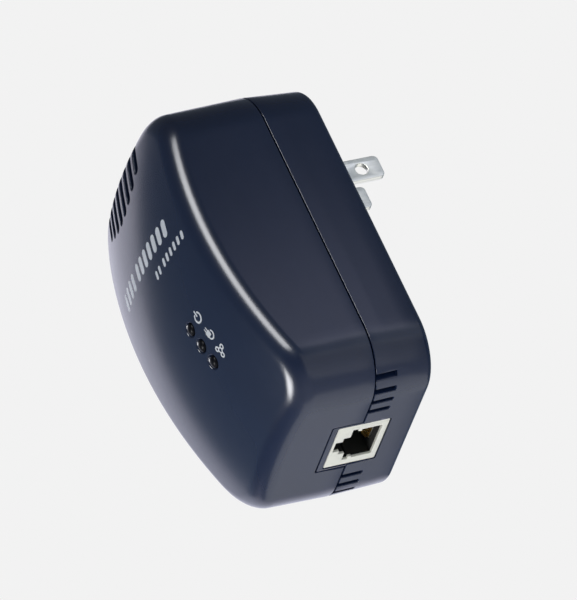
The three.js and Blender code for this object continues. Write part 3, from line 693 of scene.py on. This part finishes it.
def make_rear_cover(material):
    seam = SEAM_Y + GAP / 2
    rings = []
    for angle in arc_steps(6):
        inset = REAR_ROUND * (1 - math.cos(angle))
        rings.append(ring(inset, REAR_Y - REAR_ROUND * (1 - math.sin(angle))))
    start = rings[-1]
    for t in (0.33, 0.67):
        rings.append(blend_rings(start, ring(0, seam + SEAM_ROUND), t))
    rings += seam_edge(seam, 1)
    tip = SEAM_Y - TONGUE_REACH
    rings.append(ring(TONGUE_INSET, seam))
    rings.append(ring(TONGUE_INSET, tip + 0.2))
    rings.append(ring(TONGUE_INSET + 0.2, tip))
    rings.append(ring(WALL, tip))
    rings.append(ring(WALL, REAR_Y - WALL - 0.4))
    rings.append(ring(WALL + 0.4, REAR_Y - WALL))
    shell = shell_object("rear_shell", rings, lambda x, w: REAR_Y, lambda x, w: REAR_Y - WALL, True)
    additions = [plinth_solid(), surround_block()]
    for x, z in post_centres():
        back = REAR_Y - WALL / 2
        profile = [(0, seam), (POST_RADIUS, seam), (POST_RADIUS, back), (0, back)]
        additions.append(disc_stack("post", profile, (x, z)))
    combine(shell, additions, "UNION")
    cutters = [jack_hole(0.0), *bottom_slots(), label_recess(), *blade_slots()]
    for x, z in post_centres():
        mouth = [(0, 1.0), (SCREW_HOLE_RADIUS + 0.4, 1.0), (SCREW_HOLE_RADIUS + 0.4, REAR_Y)]
        mouth += [(SCREW_HOLE_RADIUS, REAR_Y - 0.4), (SCREW_HOLE_RADIUS, SCREW_SEAT_Y)]
        mouth += [(SCREW_BORE_RADIUS, SCREW_SEAT_Y), (SCREW_BORE_RADIUS, seam - 3), (0, seam - 3)]
        cutters.append(disc_stack("screw_hole", mouth, (x, z)))
    combine(shell, cutters, "DIFFERENCE")
    finish_piece(shell, "housing", material, "rear_cover")


def plinth_solid():
    """The raised plug face, with a small round at its edge."""
    width, height, corner = PLINTH
    return rounded_plate("plinth", width, height, corner, (0, 0), REAR_Y - WALL / 2, 0.0, 0.6)


def label_recess():
    (width, height), centre = LABEL_SIZE, LABEL_CENTRE
    return rounded_plate("label_recess", width + 0.6, height + 0.6, 2.2, centre, 1.0, REAR_Y - 0.35, 0.05)


def blade_slots():
    cutters = []
    for x in (-(BLADE_LOW.x + BLADE_HIGH.x) / 2, (BLADE_LOW.x + BLADE_HIGH.x) / 2):
        width, height = BLADE_HIGH.x - BLADE_LOW.x + GAP, BLADE_WIDTH + GAP
        end_y = REAR_Y - WALL - 1
        cutters.append(rounded_plate("blade_slot", width, height, 0.3, (x, 0), 1.0, end_y, 0.05))
    return cutters


# ---------------------------------------------------------------- blades, socket, lights and screws


def extruded(name, outline, axis, low, high):
    """A straight solid on an outline given in the two other axes' order (x, y, z)."""
    points = []
    for along in (low, high):
        for a, b in outline:
            points.append({"x": (along, a, b), "y": (a, along, b), "z": (a, b, along)}[axis])
    count = len(outline)
    faces = [tuple(range(count)), tuple(range(count, 2 * count))[::-1]]
    faces += loop_faces(0, count, count)
    return fix_normals(mesh_object(name, points, faces))


def bevelled(obj, width, segments):
    modifier = obj.modifiers.new("edge", "BEVEL")
    modifier.width = width * MM
    modifier.segments = segments
    modifier.limit_method = "ANGLE"
    modifier.angle_limit = BEVEL_ANGLE
    modifier.harden_normals = False
    bake_modifiers(obj)
    set_smooth(obj.data)
    return obj


def rounded_outline(low_a, high_a, low_b, high_b, radius, steps=6):
    """A rectangle's outline with rounded corners, anticlockwise."""
    corners = [(high_a, low_b, -1), (high_a, high_b, 0), (low_a, high_b, 1), (low_a, low_b, 2)]
    points = []
    for a, b, quarter in corners:
        ca = a - radius if a == high_a else a + radius
        cb = b - radius if b == high_b else b + radius
        for i in range(steps + 1):
            angle = math.pi / 2 * (quarter + i / steps)
            points.append((ca + radius * math.cos(angle), cb + radius * math.sin(angle)))
    return points


def blade_outline():
    """A blade from the side, in Y and Z: the tip's corners are rounded, the shoulders are square."""
    half = BLADE_WIDTH / 2
    tip = rounded_outline(BLADE_SHOULDER_Y[0], BLADE_HIGH.y, -half, half, BLADE_TIP_ROUND)
    steps = len(tip) // 4
    shoulder = BLADE_HIGH.z
    tail = BLADE_TAIL_WIDTH / 2
    points = tip[: 2 * steps]
    points += [(BLADE_SHOULDER_Y[0], half), (BLADE_SHOULDER_Y[0], shoulder)]
    points += [(BLADE_SHOULDER_Y[1], shoulder), (BLADE_SHOULDER_Y[1], tail), (BLADE_LOW.y, tail)]
    return points + [(y, -z) for y, z in points[:-6:-1]]


def make_blades(material):
    radius = BLADE_HOLE_RADIUS
    for name, node in (("plug_blade_left", "blade_left"), ("plug_blade_right", "blade_right")):
        low, high = box_mm(node)
        blade = extruded(name, blade_outline(), "x", low.x, high.x)
        near, far = BLADE_HOLE_Y - radius, BLADE_HOLE_Y + radius
        hole = rounded_outline(near, far, -radius, radius, radius - 0.01, 9)
        combine(blade, [extruded("hole", hole, "x", low.x - 1, high.x + 1)], "DIFFERENCE")
        bevelled(blade, 0.22, 4)
        finish_piece(blade, "blade_metal", material, node)


def socket_outline(grown):
    """The socket's mouth in X and Y, from the latch notch to the back, grown on all sides."""
    widths = [width for width, _ in MOUTH_STEPS]
    right = []
    start = JACK_LOW.y + JACK_LIP
    for i, (width, height) in enumerate(MOUTH_STEPS):
        end = start + height
        wider_than_last = i == 0 or width > widths[i - 1]
        wider_than_next = i == len(widths) - 1 or width > widths[i + 1]
        right.append((width / 2 + grown, start - grown if wider_than_last else start + grown))
        right.append((width / 2 + grown, end + grown if wider_than_next else end - grown))
        start = end
    return right + [(-x, place) for x, place in reversed(right)]


def make_socket(housing, carrier_and_mouth_shade):
    """The socket's pale shell, and the dark liner through its mouth: it stands for the black contact
    carrier, and its black also paints the shade deep in the mouth.
    """
    mouth_z, end_z = JACK_LOW.z, JACK_HIGH.z
    outline = rounded_outline(JACK_LOW.x, JACK_HIGH.x, JACK_LOW.y, JACK_HIGH.y, 0.35)
    shell = extruded("socket_shell", outline, "z", mouth_z, end_z)
    lip = 0.7
    mouth = extruded("mouth", socket_outline(0.0), "z", mouth_z - 1, mouth_z + lip + 0.5)
    room = extruded("room", socket_outline(CARRIER_WALL + 0.05), "z", mouth_z + lip, mouth_z + JACK_DEPTH)
    bay = spring_bay(0.3)
    combine(shell, [mouth, room, bay], "DIFFERENCE")
    bevelled(shell, 0.1, 2)
    finish_piece(shell, "jack_plastic", housing, "jack_housing")

    # The liner's black is partly a real contact carrier and partly painted shade inside the mouth.
    liner_low, liner_high = mouth_z + lip + 0.05, mouth_z + JACK_DEPTH - 0.1
    liner = extruded("contact_carrier_and_mouth_shade", socket_outline(CARRIER_WALL), "z", liner_low, liner_high)
    inside = extruded("inside", socket_outline(0.0), "z", liner_low - 1, liner_high - 0.5)
    combine(liner, [inside, spring_bay(0.0)], "DIFFERENCE")
    finish_piece(liner, "connector_plastic", carrier_and_mouth_shade)


def spring_bay(grown):
    """The recess behind the mouth that holds the contact springs."""
    low, high = box_mm(SPRING_NODES[0])
    far_high = box_mm(SPRING_NODES[-1])[1]
    side = 0.4
    left, right = low.x - side - grown, far_high.x + side + grown
    outline = rounded_outline(left, right, high.y - 1.4, high.y + side + grown, 0.1, 2)
    return extruded("bay", outline, "z", low.z - 0.6, high.z + 1.2)


def make_light_pipe(material):
    """Three domed windows on rods that join in one moulding behind the front wall."""
    rods = []
    back_y = PIPE_HIGH.y
    for z in INDICATOR_ZS:
        face_y = front_y(INDICATOR_X, z - MID_Z)
        profile = [(0, face_y - DOME_RISE)]
        for angle in quarter(12)[1:]:
            rise = (DOME_RISE + DOME_SINK) * math.cos(angle)
            profile.append((INDICATOR_RADIUS * math.sin(angle), face_y + DOME_SINK - rise))
        profile += [(INDICATOR_RADIUS, back_y), (0, back_y)]
        rods.append(disc_stack("rod", profile, (INDICATOR_X, z)))
    pipe, *others = rods
    rail = rounded_outline(INDICATOR_X - 0.8, INDICATOR_X + 0.8, back_y - 4.5, back_y - 3, 0.2, 3)
    others.append(extruded("rail", rail, "z", INDICATOR_ZS[-1], INDICATOR_ZS[0]))
    combine(pipe, others, "UNION")
    pipe.name = "indicator_lens"
    finish_piece(pipe, "light_pipe_plastic", material, "light_pipe")


def make_screws(material):
    """Pan-head screws with a cross recess, at the bottom of the holes in the rear cover."""
    for node in SCREW_NODES:
        low, high = box_mm(node)
        x, z = (low.x + high.x) / 2, (low.z + high.z) / 2
        radius = (high.x - low.x) / 2
        seat = high.y - SCREW_HEAD_HEIGHT
        tip_radius, tip_length = SCREW_TIP
        profile = [(0, low.y), (tip_radius, low.y), (SCREW_THREAD_RADIUS, low.y + tip_length)]
        for i in range(int((seat - low.y - SCREW_PLAIN_LENGTH) / SCREW_THREAD)):
            y = low.y + SCREW_THREAD_START + i * SCREW_THREAD
            profile += [(SCREW_CORE_RADIUS, y), (SCREW_THREAD_RADIUS, y + SCREW_THREAD / 2)]
        profile += [(SCREW_NECK_RADIUS, seat - 0.1), (SCREW_NECK_RADIUS, seat)]
        profile += [(radius, seat), (radius, seat + SCREW_HEAD_EDGE)]
        for angle in quarter(8)[1:-1]:
            rise = SCREW_HEAD_EDGE + (SCREW_HEAD_HEIGHT - SCREW_HEAD_EDGE) * math.sin(angle)
            profile.append((radius * math.cos(angle), seat + rise))
        profile.append((0, high.y))
        screw = disc_stack(node + "_fine", profile, (x, z), 32)
        arms = []
        for half_x, half_z in (CROSS_ARM, CROSS_ARM[::-1]):
            arm = rounded_outline(x - half_x, x + half_x, z - half_z, z + half_z, 0.15, 2)
            arms.append(extruded("arm", arm, "y", seat + 0.6, high.y + 1))
        combine(screw, arms, "DIFFERENCE")
        finish_piece(screw, "screw_steel", material, node)


def make_label(material, ink):
    """The blank rating label, with a printed border and rows of bars in place of its words."""
    (width, height), centre = LABEL_SIZE, LABEL_CENTRE
    plate = rounded_plate("back_label", width, height, 2.0, centre, LABEL_LOW.y, LABEL_HIGH.y, 0.04)
    finish_piece(plate, "label_film", material, "rating_label")
    rows = []
    top = centre[1] + height / 2 - 6
    for i, length in enumerate(LABEL_BARS):
        z = top - i * LABEL_BAR_PITCH
        start = width / 2 - 4
        half = 0.9 if i == 0 else 0.55
        rows.append(stroke([(start, z), (start - length, z)], half, label_point))
    half_x, half_z = width / 2 - LABEL_BORDER, height / 2 - LABEL_BORDER
    border = rounded_outline(-half_x, half_x, centre[1] - half_z, centre[1] + half_z, LABEL_BORDER)
    rows.append(stroke(border, 0.12, label_point, closed=True))
    marks = merge_objects("label_marks", rows)
    finish_piece(marks, "label_film", ink)


def label_point(x, z, height):
    return x, LABEL_HIGH.y + height, z


# ---------------------------------------------------------------- printed marks


def face_point(x, w, height):
    """A point at a height above the front face."""
    return x, front_y(x, w) - height, MID_Z + w


def stroke(path, half_width, place, closed=False):
    """A thin printed line with round ends along a path, on the surface that place() gives."""
    line = densified(path, closed)
    stations = []
    count = len(line)
    for i, (a, b) in enumerate(line):
        before = line[i - 1] if i or closed else line[i]
        after = line[(i + 1) % count] if i < count - 1 or closed else line[i]
        da, db = after[0] - before[0], after[1] - before[1]
        length = math.hypot(da, db)
        stations.append((a, b, da / length, db / length, half_width))
    if not closed:
        stations = round_end(stations[0], -1)[::-1] + stations + round_end(stations[-1], 1)
    points, faces = [], []
    for a, b, da, db, half in stations:
        for side, height in ((1, INK_TOP), (-1, INK_TOP), (-1, INK_BASE), (1, INK_BASE)):
            points.append(place(a - db * half * side, b + da * half * side, height))
    rows = len(stations)
    for i in range(rows if closed else rows - 1):
        here, there = 4 * i, 4 * ((i + 1) % rows)
        for k in range(4):
            n = (k + 1) % 4
            faces.append((here + k, here + n, there + n, there + k))
    if not closed:
        faces += [(3, 2, 1, 0), tuple(4 * (rows - 1) + k for k in range(4))]
    return fix_normals(mesh_object("stroke", points, faces))


def densified(path, closed):
    """A path with points at most a step apart."""
    ends = path + path[:1] if closed else path
    line = []
    for start, end in zip(ends, ends[1:]):
        pieces = max(1, math.ceil(math.dist(start, end) / STROKE_STEP))
        for i in range(pieces):
            t = i / pieces
            line.append((start[0] + (end[0] - start[0]) * t, start[1] + (end[1] - start[1]) * t))
    return line if closed else line + [path[-1]]


def round_end(station, sign):
    """Stations that narrow over a half circle beyond an end."""
    a, b, da, db, half = station
    ends = []
    for i in range(1, 6):
        angle = math.radians(16.5 * i)
        reach = sign * half * math.sin(angle)
        ends.append((a + da * reach, b + db * reach, da, db, half * math.cos(angle)))
    return ends


def arc(centre, radius, start, end, steps=20):
    """Points on a circle between two angles in degrees."""
    angles = [math.radians(start + (end - start) * i / steps) for i in range(steps + 1)]
    return [(centre[0] + radius * math.cos(t), centre[1] + radius * math.sin(t)) for t in angles]


def power_icon(x, w):
    """An open ring with a short line in its gap."""
    ring_path = arc((x, w), 1.25, 125, 415)
    return [stroke(ring_path, 0.24, face_point), stroke([(x, w + 0.5), (x, w + 1.75)], 0.24, face_point)]


def plug_icon(x, w):
    """A two-pin plug with a loop of lead."""
    head = rounded_outline(x - 0.85, x + 0.55, w - 0.55, w + 0.65, 0.2, 3)
    pins = [stroke([(x + dx, w + 0.7), (x + dx, w + 1.6)], 0.16, face_point) for dx in (-0.5, 0.2)]
    fill = [stroke([(x - 0.5, w + dw), (x + 0.2, w + dw)], 0.34, face_point) for dw in (-0.2, 0.3)]
    lead = arc((x + 0.45, w - 0.6), 1.05, 180, 400)
    return [*pins, *fill, stroke(head, 0.16, face_point, closed=True), stroke(lead, 0.2, face_point)]


def network_icon(x, w):
    """Three joined circles."""
    places = [(x - 0.85, w + 0.85), (x + 0.95, w + 0.2), (x - 0.5, w - 1.15)]
    rings = [stroke(arc(place, 0.52, 0, 345, 24), 0.2, face_point, closed=True) for place in places]
    links = [
        stroke([toward(a, b, 0.6), toward(b, a, 0.6)], 0.18, face_point)
        for a, b in ((places[0], places[1]), (places[1], places[2]), (places[2], places[0]))
    ]
    return rings + links


def toward(start, end, distance):
    t = distance / math.dist(start, end)
    return start[0] + (end[0] - start[0]) * t, start[1] + (end[1] - start[1]) * t


def printed_line(start, slope, words, pitch, height, half_width):
    """Rows of plain upright bars that stand for words: each word is a count of bars."""
    bars = []
    x, w = start
    for count in words:
        for _ in range(count):
            foot = (x + half_width, w + half_width)
            top = (x + half_width + MARK_SLANT * height, w + height - half_width)
            bars.append(stroke([foot, top], half_width, face_point))
            x += pitch
            w += slope * pitch
        x += pitch * MARK_WORD_GAP
        w += slope * pitch * MARK_WORD_GAP
    return bars


def make_face_marks(material):
    strokes = printed_line(**MAIN_LINE) + printed_line(**SMALL_LINE)
    for icon, z in zip((power_icon, plug_icon, network_icon), INDICATOR_ZS):
        strokes += icon(INDICATOR_X + ICON_OFFSET_X, z - MID_Z - 0.3)
    marks = merge_objects("face_marks", strokes)
    finish_piece(marks, "label_film", material)


# ---------------------------------------------------------------- materials


class Recipe:
    """A small helper that builds one procedural material."""

    def __init__(self, name):
        self.material = bpy.data.materials.new(name)
        self.material.use_nodes = True
        self.tree = self.material.node_tree
        self.shader = self.tree.nodes["Principled BSDF"]
        self.coordinates = self.node("TexCoord").outputs["Object"]

    def node(self, kind, inputs=(), **settings):
        """A shader node, with its inputs given as pairs of name and value."""
        made = self.tree.nodes.new("ShaderNode" + kind)
        for name, value in inputs:
            made.inputs[name].default_value = value
        for key, value in settings.items():
            setattr(made, key, value)
        return made

    def link(self, source, target):
        self.tree.links.new(source, target)

    def set(self, **values):
        for key, value in values.items():
            self.shader.inputs[key.replace("_", " ")].default_value = value

    def noise(self, scale, detail=3.0, stretch=(1, 1, 1)):
        mapping = self.node("Mapping", [("Scale", stretch)])
        self.link(self.coordinates, mapping.inputs["Vector"])
        texture = self.node("TexNoise", [("Scale", scale), ("Detail", detail)])
        self.link(mapping.outputs["Vector"], texture.inputs["Vector"])
        return texture.outputs["Fac"]

    def gloss(self, scale, detail, low, high):
        """Uneven roughness, between low and high."""
        limits = zip(("From Min", "From Max", "To Min", "To Max"), (*NOISE_RANGE, low, high))
        node = self.node("MapRange", limits)
        self.link(self.noise(scale, detail), node.inputs["Value"])
        self.link(node.outputs["Result"], self.shader.inputs["Roughness"])

    def tint(self, value, dark, light):
        """A colour that runs from dark to light with a pattern's value."""
        node = self.node("ValToRGB")
        for stop, place, colour in zip(node.color_ramp.elements, NOISE_RANGE, (dark, light)):
            stop.position = place
            stop.color = (*colour, 1)
        self.link(value, node.inputs["Fac"])
        self.link(node.outputs["Color"], self.shader.inputs["Base Color"])

    def bump(self, height, strength, distance):
        node = self.node("Bump", [("Strength", strength), ("Distance", distance)])
        self.link(height, node.inputs["Height"])
        self.link(node.outputs["Normal"], self.shader.inputs["Normal"])


def shade(colour, factor):
    return tuple(c * factor for c in colour)


def moulded(name, colour, roughness, grain=2600, variation=0.08, strength=0.12, spread=0.045, **values):
    """Moulded plastic: faint flow marks in its colour, uneven gloss, and a fine grain."""
    recipe = Recipe(name)
    flow = recipe.noise(55, 4, (1, 1, 0.35))
    recipe.tint(flow, shade(colour, 1 - variation), shade(colour, 1 + variation))
    recipe.gloss(210, 5, roughness - spread, roughness + spread)
    recipe.bump(recipe.noise(grain, 2), strength, 0.00004)
    recipe.set(**values)
    return recipe.material


def patterned(name, pattern, colours, gloss, relief=None, **values):
    """A material whose pattern, given as for noise(), sets its colour and its relief."""
    recipe = Recipe(name)
    value = recipe.noise(*pattern)
    recipe.tint(value, *colours)
    recipe.gloss(*gloss)
    if relief:
        recipe.bump(value, *relief)
    recipe.set(**values)
    return recipe.material


def metal(name, colour, roughness, stretch, variation=0.1):
    """Rolled or drawn metal: fine lines along one direction, with uneven gloss."""
    colours = shade(colour, 1 - variation), shade(colour, 1 + variation)
    gloss = (420, 4, roughness - 0.07, roughness + 0.08)
    return patterned(name, (1500, 4, stretch), colours, gloss, (0.15, 0.00003), Metallic=1.0)


# ---------------------------------------------------------------- camera, light and floor


def make_camera():
    """A long lens below and to the right of the front face, turned so that the body leans left."""
    data = bpy.data.cameras.new("camera")
    data.sensor_width = 36
    data.lens = CAMERA_LENS
    data.clip_start, data.clip_end = 0.05, 50
    camera = new_object("camera", data)
    camera.location = Vector(CAMERA_PLACE) * MM
    camera.rotation_euler = [math.radians(angle) for angle in CAMERA_TURN]
    scene.camera = camera


def area_light(name, direction, distance, size, strength, colour=(1, 1, 1), only=None):
    """A soft light that looks at the body; only="gloss" or "diffuse" keeps it to that light."""
    data = bpy.data.lights.new(name, "AREA")
    data.shape = "RECTANGLE"
    data.size, data.size_y = size
    data.energy = strength * math.pi * size[0] * size[1]
    data.color = colour
    light = new_object(name, data)
    centre = Vector((0, -0.03, MID_Z * MM))
    away = Vector(direction).normalized()
    light.location = centre + away * distance
    light.rotation_mode = "QUATERNION"
    light.rotation_quaternion = away.to_track_quat("Z", "Y")
    light.visible_camera = False
    light.visible_diffuse = only != "gloss"
    light.visible_glossy = only != "diffuse"
    return light


def make_world():
    """Near white behind the object, and a softer light on it that is stronger and bluer from below."""
    world = bpy.data.worlds.new("studio")
    scene.world = world
    world.use_nodes = True
    nodes, links = world.node_tree.nodes, world.node_tree.links
    nodes.clear()
    kinds = ("OutputWorld", "MixShader", "LightPath", "TexCoord", "SeparateXYZ", "MapRange", "Mix")
    output, choice, path, direction, split, height, blend = (nodes.new("ShaderNode" + k) for k in kinds)
    lit, seen = (nodes.new("ShaderNodeBackground") for _ in range(2))
    height.inputs["From Min"].default_value = -1
    blend.data_type = "RGBA"
    blend.inputs["A"].default_value = (*WORLD_LOW, 1)
    blend.inputs["B"].default_value = (*WORLD_HIGH, 1)
    seen.inputs["Color"].default_value = (*BACKDROP, 1)
    links.new(direction.outputs["Generated"], split.inputs["Vector"])
    links.new(split.outputs["Z"], height.inputs["Value"])
    links.new(height.outputs["Result"], blend.inputs["Factor"])
    links.new(blend.outputs["Result"], lit.inputs["Color"])
    links.new(path.outputs["Is Camera Ray"], choice.inputs["Fac"])
    links.new(lit.outputs["Background"], choice.inputs[1])
    links.new(seen.outputs["Background"], choice.inputs[2])
    links.new(choice.outputs["Shader"], output.inputs["Surface"])


def make_floor():
    size, drop_z = 12.0, -1.7
    mesh = bpy.data.meshes.new("floor")
    corners = [(-size, -size), (size, -size), (size, size), (-size, size)]
    mesh.from_pydata([(x, y, drop_z) for x, y in corners], [], [(0, 1, 2, 3)])
    floor = new_object("floor", mesh)
    recipe = Recipe("pale_floor")
    recipe.tint(recipe.noise(6, 3), (0.78, 0.78, 0.78), (0.82, 0.82, 0.82))
    recipe.set(Roughness=0.9)
    floor.data.materials.append(recipe.material)


def make_studio():
    scene.view_settings.view_transform = "Standard"
    make_world()
    make_floor()
    area_light("edge_strip", (0.80, -0.46, 0.37), 1.3, (0.46, 0.95), 14.0, only="gloss")
    area_light("corner_spot", (-0.19, -0.90, -0.38), 1.3, (0.52, 0.40), 22.0, only="gloss")
    bluish = (0.92, 0.92, 1.15)
    area_light("side_glow", (0.34, 0.155, 0.102), 0.387, (0.16, 0.14), 1.1, bluish, only="gloss")
    area_light("near_low", (0.80, 0.25, -0.55), 0.32, (0.25, 0.25), 0.6)
    area_light("left_panel", (-0.86, 0.10, 0.22), 1.6, (1.6, 2.5), 1.0, (1.0, 0.96, 1.10))
    area_light("under_panel", (-0.55, 0.25, -0.80), 1.2, (1.2, 1.2), 0.8)
    area_light("rear_glow", (0.85, 0.53, 0.05), 1.2, (0.6, 0.6), 0.5, only="gloss")
    area_light("front_fill", (-0.15, -0.82, -0.50), 1.5, (1.4, 1.4), 1.5, only="diffuse")
    floor_glow = area_light("floor_glow", (0, 0, -1), 0.5, (3.0, 3.0), 0.8)
    floor_glow.rotation_quaternion = (1, 0, 0, 0)  # it shines down, on the floor below the object


def printed(name, colour):
    """Screen-printed ink: slightly uneven cover and a soft gloss."""
    return patterned(name, (900, 4), (shade(colour, 0.88), colour), (400, 3, 0.42, 0.55), (0.1, 0.00001))


def speckled(name, colour, speck, roughness):
    """Pressed powder, such as ferrite or epoxy: fine specks and a dull, slightly rough skin."""
    gloss = (300, 4, roughness - 0.06, roughness + 0.08)
    return patterned(name, (3800, 2), (colour, speck), gloss, (0.25, 0.00003))


def wound(name, colour, turns_per_metre, metallic):
    """Turns of wire or tape, as rounded ridges round the piece."""
    recipe = Recipe(name)
    spacing = [("Scale", turns_per_metre / 20), ("Distortion", 0.6)]
    wave = recipe.node("TexWave", spacing, wave_type="BANDS", bands_direction="Z", wave_profile="SIN")
    recipe.link(recipe.coordinates, wave.inputs["Vector"])
    ridges = wave.outputs["Fac"]
    recipe.tint(ridges, shade(colour, 0.5), colour)
    recipe.gloss(500, 3, 0.28, 0.42)
    recipe.bump(ridges, 0.6, 0.0001)
    recipe.set(Metallic=metallic)
    return recipe.material


def laminate(name):
    """Solder mask over copper: lighter tracks in a darker ground, with a satin gloss."""
    recipe = Recipe(name)
    greens = [("Color1", (0.010, 0.090, 0.035, 1)), ("Color2", (0.013, 0.120, 0.045, 1))]
    gaps = [("Mortar", (0.006, 0.045, 0.020, 1)), ("Scale", 420), ("Mortar Size", 0.03)]
    tracks = recipe.node("TexBrick", greens + gaps)
    turned = recipe.node("Mapping", [("Rotation", (math.pi / 2, 0, 0))])
    recipe.link(recipe.coordinates, turned.inputs["Vector"])
    recipe.link(turned.outputs["Vector"], tracks.inputs["Vector"])
    recipe.link(tracks.outputs["Color"], recipe.shader.inputs["Base Color"])
    recipe.gloss(260, 3, 0.3, 0.42)
    recipe.bump(tracks.outputs["Fac"], 0.3, 0.00003)
    return recipe.material


def smoked(name):
    """Dark clear plastic of the indicator windows."""
    colours = (0.003, 0.003, 0.005), (0.006, 0.006, 0.009)
    gloss = (500, 3, 0.30, 0.36)
    return patterned(name, (700, 3), colours, gloss, IOR=1.3, Specular_IOR_Level=0.25)


def dress_inner_pieces():
    """Gives each CAD piece that still shows its material."""
    black = speckled("epoxy_black", (0.010, 0.010, 0.011), (0.022, 0.022, 0.024), 0.5)
    ferrite = speckled("ferrite_grey", (0.030, 0.030, 0.034), (0.060, 0.060, 0.064), 0.6)
    sleeve = moulded("sleeve_blue", (0.012, 0.025, 0.090), 0.3, strength=0.05)
    looks = {
        laminate("solder_mask_green"): ["power_board", "logic_board"],
        black: [
            "bridge_rectifier", "supply_chip", "rectifier_diode", "powerline_chip", "phy_chip",
            "analog_chip", "memory_chip", "ethernet_transformer", "fuse",
        ],
        ferrite: ["transformer_core", "common_mode_choke", "output_inductor", "filter_inductor"],
        sleeve: ["bulk_capacitor_1", "bulk_capacitor_2", "output_capacitor_1", "output_capacitor_2"],
        moulded("header_black", (0.012, 0.012, 0.013), 0.45): ["board_header", "board_socket"],
        moulded("holder_white", (0.62, 0.61, 0.56), 0.5): ["blade_holder"],
        moulded("film_yellow", (0.60, 0.38, 0.04), 0.4): ["x_capacitor"],
        moulded("varistor_blue", (0.02, 0.07, 0.36), 0.35, strength=0.3): ["varistor"],
        moulded("disc_orange", (0.50, 0.13, 0.02), 0.4, strength=0.3): ["y_capacitor"],
        moulded("coupler_white", (0.66, 0.66, 0.62), 0.45): ["optocoupler"],
        moulded("led_white", (0.75, 0.74, 0.68), 0.3): ["led_power", "led_powerline", "led_ethernet"],
        wound("copper_turns", (0.72, 0.26, 0.10), 2500, 1.0): ["transformer_winding"],
        wound("tape_turns", (0.66, 0.42, 0.05), 900, 0.0): ["coupling_transformer"],
        metal("can_steel", (0.52, 0.53, 0.55), 0.3, (1, 0.1, 1)): ["crystal"],
        metal("contact_gold", (0.62, 0.40, 0.13), 0.3, (1, 0.1, 0.1)): SPRING_NODES,
    }
    for material, nodes in looks.items():
        for name in nodes:
            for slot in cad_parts[name].material_slots:
                slot.material = material


def make_object():
    navy = (0.0095, 0.0190, 0.0540)
    housing = moulded("navy_housing", navy, 0.23, grain=1100, spread=0.01, strength=0.015, IOR=1.5)
    nickel = metal("nickel_plate", (0.93, 0.92, 0.84), 0.42, (1, 0.06, 1), 0.05)
    steel = metal("zinc_steel", (0.48, 0.49, 0.50), 0.36, (1, 0.2, 1))
    ivory = moulded("ivory_plastic", (0.88, 0.87, 0.76), 0.42, variation=0.03)
    # Black for the contact carrier, also used as painted shade inside the socket's mouth.
    carrier_and_mouth_shade = moulded("carrier_black_and_mouth_shade", (0.006, 0.007, 0.006), 0.6)
    ink = printed("white_ink", (0.90, 0.90, 0.91))
    film = moulded("label_silver", (0.42, 0.43, 0.45), 0.45, variation=0.03)
    dark_ink = printed("dark_ink", (0.03, 0.03, 0.035))
    make_front_cover(housing)
    make_rear_cover(housing)
    make_blades(nickel)
    make_socket(ivory, carrier_and_mouth_shade)
    make_light_pipe(smoked("smoked_lens"))
    make_screws(steel)
    make_label(film, dark_ink)
    make_face_marks(ink)
    dress_inner_pieces()


make_camera()
make_studio()
make_object()
